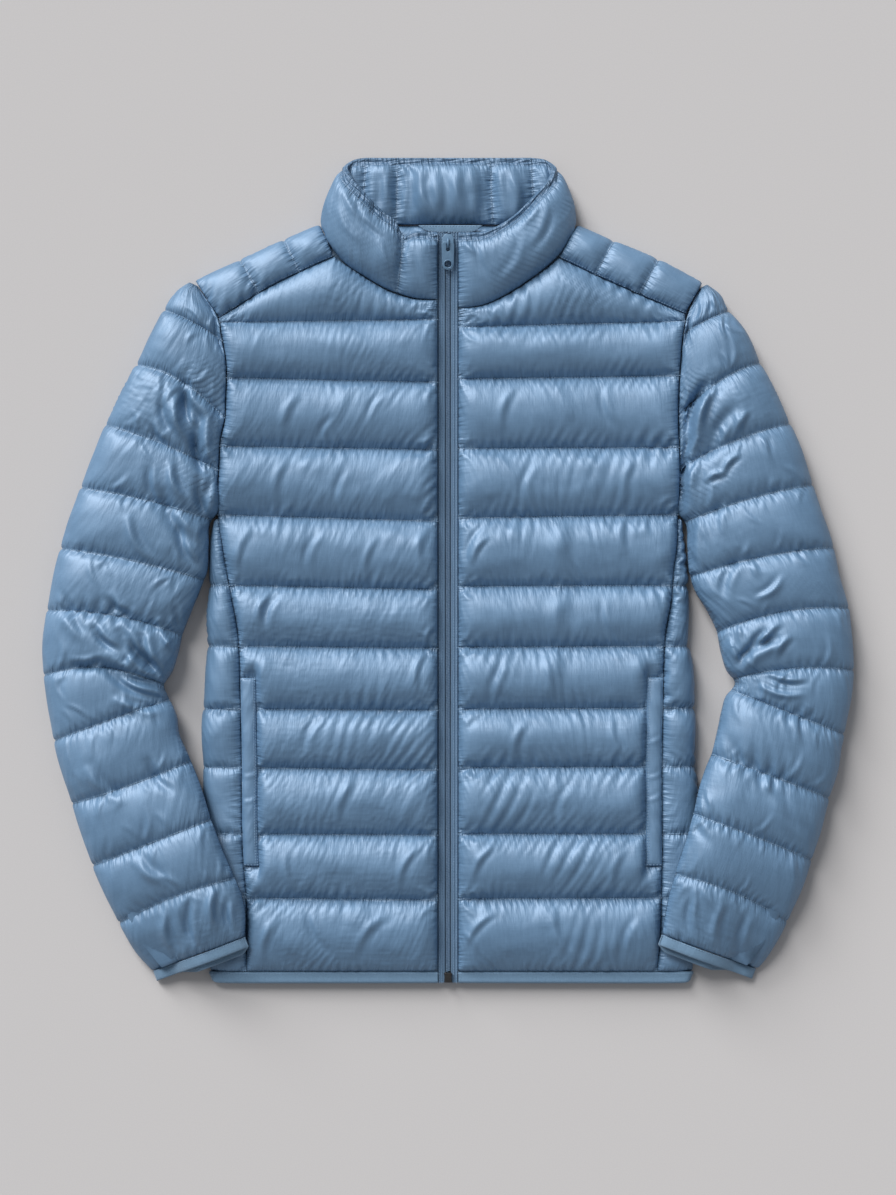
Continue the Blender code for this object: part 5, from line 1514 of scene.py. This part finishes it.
def repeat_along(name, lines, shape, pitch, unevenness, seed, material, nodes=()):
    """One piece made of copies of a small mesh, set along chains of points with the way up at each."""
    points = np.concatenate([line for line, _ in lines]) * MM
    ups = np.concatenate([up for _, up in lines])
    edges = []
    first = 0
    for line, _ in lines:
        edges += [(k, k + 1) for k in range(first, first + len(line) - 1)]
        first += len(line)
    mesh = bpy.data.meshes.new(name + "_lines")
    mesh.from_pydata(points.tolist(), edges, [])
    up = mesh.attributes.new("up", "FLOAT_VECTOR", "POINT")
    up.data.foreach_set("vector", ups.astype(np.float32).ravel())
    source = bpy.data.objects.new(name + "_shape", shape)
    holder = bpy.data.objects.new(name + "_lines", mesh)
    for obj in (source, holder):
        bpy.context.scene.collection.objects.link(obj)
    modifier = holder.modifiers.new("repeat", "NODES")
    modifier.node_group = repeat_group
    values = {"Shape": source, "Pitch": pitch * MM, "Unevenness": unevenness, "Seed": seed,
              "Material": material}
    for socket in repeat_group.interface.items_tree:
        if socket.in_out == "INPUT" and socket.name in values:
            modifier[socket.identifier] = values[socket.name]
    graph = bpy.context.evaluated_depsgraph_get()
    made = bpy.data.meshes.new_from_object(holder.evaluated_get(graph))
    bpy.data.objects.remove(holder, do_unlink=True)
    bpy.data.objects.remove(source, do_unlink=True)
    made.name = name
    places = np.empty(3 * len(made.vertices), np.float32)
    made.vertices.foreach_get("co", places)
    places[2::3] = np.maximum(places[2::3], 0.0)
    made.vertices.foreach_set("co", places)
    made.materials.clear()
    piece = add_object(name, made, material)
    finish_piece(piece, nodes)
    return piece


def make_spotted(name, dark, light, roughness, scale, depth, metallic=0.0, detail=2.0):
    """A material of two shades in fine spots, which stand up by this depth in metres."""
    material, tree, shader = new_material(name, roughness, metallic)
    place = node(tree, "ShaderNodeTexCoord").outputs["Object"]
    values = {"Vector": place, "Scale": scale, "Detail": detail}
    spots = node(tree, "ShaderNodeTexNoise", values).outputs["Fac"]
    shade_cloth(tree, shader, dark, light, spots, maths(tree, "MULTIPLY", spots, depth))
    return material, tree, shader, spots


coil_nylon = make_spotted("zip_coil_nylon", (0.09, 0.165, 0.26), (0.2, 0.31, 0.45), 0.38, 400.0,
                          0.0001)[0]


def make_coil():
    y = np.arange(COIL_END + 0.8, ZIP_PATH[-1][0] - 0.5, 4.0)
    level = zip_level(y)
    up = np.tile((0.0, 0.0, 1.0), (len(y), 1))
    turn = turns(10)
    half, tall = CORD_SIZE
    cord = []
    for at, height in zip(y, level):
        ring = [half * np.cos(turn), np.full(10, at), height + CORD_RISE + tall * np.sin(turn)]
        cord.append(np.column_stack(ring))
    cord = add_object("zip_coil_cord", ring_mesh("zip_coil_cord", cord), coil_nylon)
    finish_piece(cord, ["zip_coil"])
    loop = bead("coil_loop", ((-0.28, 1.0, 0.3, 0.0), (-0.2, 1.3, 0.62, 0.05)), 8)
    lines = []
    for side, shift in ((LEFT, 0.0), (RIGHT, COIL_PITCH / 2)):
        out, rise = LOOP_PLACE
        lines.append((np.column_stack([np.full_like(y, side * out), y + shift, level + rise]), up))
    repeat_along("zip_coil_loops", lines, loop, COIL_PITCH, 0.04, 5, coil_nylon)


def make_metal(name, dark, light, roughness, metallic):
    """Metal or paint with faint spots, which also vary its roughness."""
    material, tree, shader, spots = make_spotted(name, dark, light, roughness, 700.0, 0.00006,
                                                 metallic, 4.0)
    values = {"Value": spots, "To Min": roughness * 0.8, "To Max": roughness * 1.3}
    rough = node(tree, "ShaderNodeMapRange", values)
    tree.links.new(rough.outputs["Result"], shader.inputs["Roughness"])
    return material


def make_stop():
    """A box with rounded edges and a waist where it is clamped."""
    width, length, height = STOP_SIZE
    y = COIL_END - STOP_GAP - length / 2
    low = float(zip_level(COIL_END)) + STOP_RISE
    bm = bmesh.new()
    bmesh.ops.create_cube(bm, size=1.0)
    bmesh.ops.subdivide_edges(bm, edges=bm.edges, cuts=3, use_grid_fill=True)
    for vert in bm.verts:
        waist = 1.0 - 0.14 * (1.0 - (2 * vert.co.y) ** 2) * (abs(vert.co.x) > 0.4)
        vert.co = (vert.co.x * width * waist, y + vert.co.y * length, low + (vert.co.z + 0.5) * height)
        vert.co *= MM
    edges = [edge for edge in bm.edges if len(edge.link_faces) == 2 and edge.calc_face_angle() > 1.0]
    bmesh.ops.bevel(bm, geom=edges, offset=0.5 * MM, segments=3, affect="EDGES")
    mesh = bpy.data.meshes.new("zip_stop_box")
    bm.to_mesh(mesh)
    bm.free()
    dark_plate = make_metal("dark_plate", (0.03, 0.03, 0.034), (0.09, 0.085, 0.08), 0.36, 0.85)
    piece = add_object("zip_stop_box", mesh, dark_plate)
    finish_piece(piece, ["zip_stop"])


make_coil()
make_stop()

# ---------------------------------------------------------------- slider and pull tab
# The slider is die-cast and painted blue. Its plate covers the coil, its bail arches over the pull
# tab's bar, and the tab, a flat plate with an eyelet, turns on that bar.

SLIDER_Y = 301.0
SLIDER_BASE = 23.2  # height of the plate's underside
SLIDER_OUTLINE = ((3.78, -5.0), (5.25, -1.0), (5.25, 5.0), (3.15, 8.0))
SLIDER_THICKNESS = 1.6
BAIL_RADIUS = 0.9
BAIL_SPAN = 7.0
BAIL_RISE = 4.8
PULL_AXIS = 26.2
PULL_LEAN = 0.17  # radians that the tab slopes down from its bar
PULL_LENGTH = 25.0
PULL_HALF = 5.75  # half its width
PULL_THICKNESS = 1.4
PULL_SLOT = (1.7, 8.2)  # half width and length of the slot that the bail goes through
EYELET_RADIUS = 3.2
RIM_RADIUS = 0.55

painted = make_metal("painted_metal", (0.10, 0.19, 0.30), (0.15, 0.26, 0.385), 0.42, 0.15)


def rounded_plate(name, loops, thickness, rounding):
    """Mesh of a flat plate with rounded rims: its outline, then its holes, in mm."""
    curve = bpy.data.curves.new(name, "CURVE")
    curve.dimensions = "2D"
    curve.fill_mode = "BOTH"
    curve.extrude = (thickness / 2 - rounding) * MM
    curve.bevel_depth = rounding * MM
    curve.bevel_resolution = 3
    curve.offset = -rounding * MM
    for loop in loops:
        spline = curve.splines.new("POLY")
        spline.points.add(len(loop) - 1)
        spline.use_cyclic_u = True
        for point, (x, y) in zip(spline.points, loop):
            point.co = (x * MM, y * MM, 0.0, 1.0)
    holder = bpy.data.objects.new(name, curve)
    bpy.context.scene.collection.objects.link(holder)
    mesh = bpy.data.meshes.new_from_object(holder.evaluated_get(bpy.context.evaluated_depsgraph_get()))
    bpy.data.objects.remove(holder, do_unlink=True)
    turn_faces_out(mesh, weld=0.00001)
    mesh.materials.clear()
    return mesh


def arc(centre, radius, start, end, count):
    """Points on an arc, from one angle in degrees to another."""
    angles = np.radians(np.linspace(start, end, count + 1))
    return [(centre[0] + radius * math.cos(a), centre[1] + radius * math.sin(a)) for a in angles]


def tube_rings(path, radius):
    """Rings of a round wire through points in the plane of y and z."""
    path = np.asarray(path, float)
    run = np.gradient(path, axis=0)
    run /= np.linalg.norm(run, axis=1, keepdims=True)
    side_way = np.column_stack([-run[:, 1], run[:, 0]])
    turn = turns(12)
    rings = []
    for centre, way in zip(path, side_way):
        y, z = (at + step * radius * np.sin(turn) for at, step in zip(centre, way))
        rings.append(np.column_stack([radius * np.cos(turn), y, z]))
    return rings


def merged(name, meshes):
    """One mesh of several."""
    bm = bmesh.new()
    for mesh in meshes:
        bm.from_mesh(mesh)
    result = bpy.data.meshes.new(name)
    bm.to_mesh(result)
    bm.free()
    return result


def make_slider():
    flank = [(x, SLIDER_Y + y) for x, y in SLIDER_OUTLINE]
    outline = flank + [(-x, y) for x, y in reversed(flank)]
    plate = rounded_plate("slider_plate", [outline], SLIDER_THICKNESS, 0.45)
    plate.transform(Matrix.Translation((0, 0, (SLIDER_BASE + SLIDER_THICKNESS / 2) * MM)))
    foot = SLIDER_BASE + SLIDER_THICKNESS / 2
    top = SLIDER_BASE + SLIDER_THICKNESS + BAIL_RISE - BAIL_RADIUS
    shoulder = foot + (top - foot) * 0.45
    arch = arc((SLIDER_Y, 0.0), 1.0, 180, 0, 16)
    path = [(SLIDER_Y - BAIL_SPAN / 2, foot)]
    path += [(SLIDER_Y + (y - SLIDER_Y) * BAIL_SPAN / 2, shoulder + z * (top - shoulder))
             for y, z in arch]
    path += [(SLIDER_Y + BAIL_SPAN / 2, foot)]
    bail = ring_mesh("slider_bail", tube_rings(path, BAIL_RADIUS))
    piece = add_object("zip_slider_cast", merged("zip_slider_cast", [plate, bail]), painted)
    finish_piece(piece, ["zip_slider"])


def make_pull():
    tip = -PULL_LENGTH
    end = PULL_HALF * 0.92
    outline = [(-PULL_HALF * 0.8, 0.8), (PULL_HALF * 0.8, 0.8), (PULL_HALF, -2.0), (end, tip + PULL_HALF)]
    outline += arc((0, tip + end), end, 0, -180, 24)[1:]
    outline += [(-PULL_HALF, -2.0)]
    wide, long = PULL_SLOT
    slot = [(-wide, -0.8), (wide, -0.8), (wide, -long + wide)]
    slot += arc((0, -long + wide), wide, 0, -180, 8)[1:]
    eyelet = arc((0, tip + end), EYELET_RADIUS, 0, 360 - 15, 23)
    tab = rounded_plate("pull_plate", [outline, slot, eyelet], PULL_THICKNESS, 0.35)
    around = turns(8)
    off = EYELET_RADIUS + RIM_RADIUS + RIM_RADIUS * np.cos(around)
    rim = []
    for angle in np.append(turns(32), 0.0):
        place = [off * math.cos(angle), tip + end + off * math.sin(angle), 0.5 + 0.5 * np.sin(around)]
        rim.append(np.column_stack(place))
    rim = ring_mesh("pull_rim", rim)
    mesh = merged("pull_tab_plate", [tab, rim])
    bar = Matrix.Translation((0, SLIDER_Y * MM, PULL_AXIS * MM))
    mesh.transform(bar @ Matrix.Rotation(PULL_LEAN, 4, "X"))
    piece = add_object("pull_tab_plate", mesh, painted)
    finish_piece(piece, ["zip_pull"], body="pull_tab")


make_slider()
make_pull()

# ---------------------------------------------------------------- hanger loop
# A folded strip of the binding tape is sewn flat inside the back neck, with its ends tucked
# into the collar seam.

# Lower edge from end to end: x, y; its upper edge lies along the collar seam
LOOP_EDGE = ((-27.5, 318.0), (-22, 313.8), (-16, 311.6), (-8, 311.2), (14, 311.2), (22, 311.4),
             (26.5, 313.4), (31.5, 318.0))
LOOP_TOP = 318.4
LOOP_LOW = 12.4  # height of its underside


def make_loop():
    shares = np.linspace(0, 1, 61)
    lower = chain(LOOP_EDGE, shares)
    rows = []
    for part in np.linspace(0, 1, 9):
        y = lower[:, 1] + (LOOP_TOP - lower[:, 1]) * part
        bulge = 1.15 * rounded(min(part, 1 - part) / 0.22)
        z = LOOP_LOW + bulge * np.clip((LOOP_TOP - lower[:, 1]) / 3.0, 0.3, 1)
        rows.append(np.column_stack([lower[:, 0] * (1 - 0.03 * part), y, z + 0.1 * np.sin(shares * 40)]))
    grid = np.array(rows)
    inner = with_height(grid[::8, :, :2], LOOP_LOW - 0.05)
    piece = join("hanger_loop_tape", grid, inner, binding)
    finish_piece(piece, ["hanger_loop"])
    stitch_rows(grid, (1, 7), slice(6, 55))


make_loop()

# ---------------------------------------------------------------- stitching
# Polyester thread in the shell's own blue runs along every line of quilting, along the edges of the
# welts, the bindings and the collar, and along both zip tapes.

STITCH_PITCH = 2.6
STITCHES_TO_A_PIECE = 2600

thread = make_spotted("sewing_thread", (0.14, 0.24, 0.36), (0.30, 0.43, 0.58), 0.55, 1500.0, 0.00008)[0]
stitch = bead("stitch", ((-1.0, 0.16, 0.12, -0.2), (-0.45, 0.27, 0.24, 0.0)), 5)
batches = [[]]
count = 0
for points, ups in stitch_lines:
    count += length_of(points) / STITCH_PITCH
    if count > STITCHES_TO_A_PIECE:
        batches.append([])
        count = 0
    batches[-1].append((points, ups))
for number, batch in enumerate(batches, 1):
    repeat_along("stitching_%d" % number, batch, stitch, STITCH_PITCH, 0.12, number, thread)
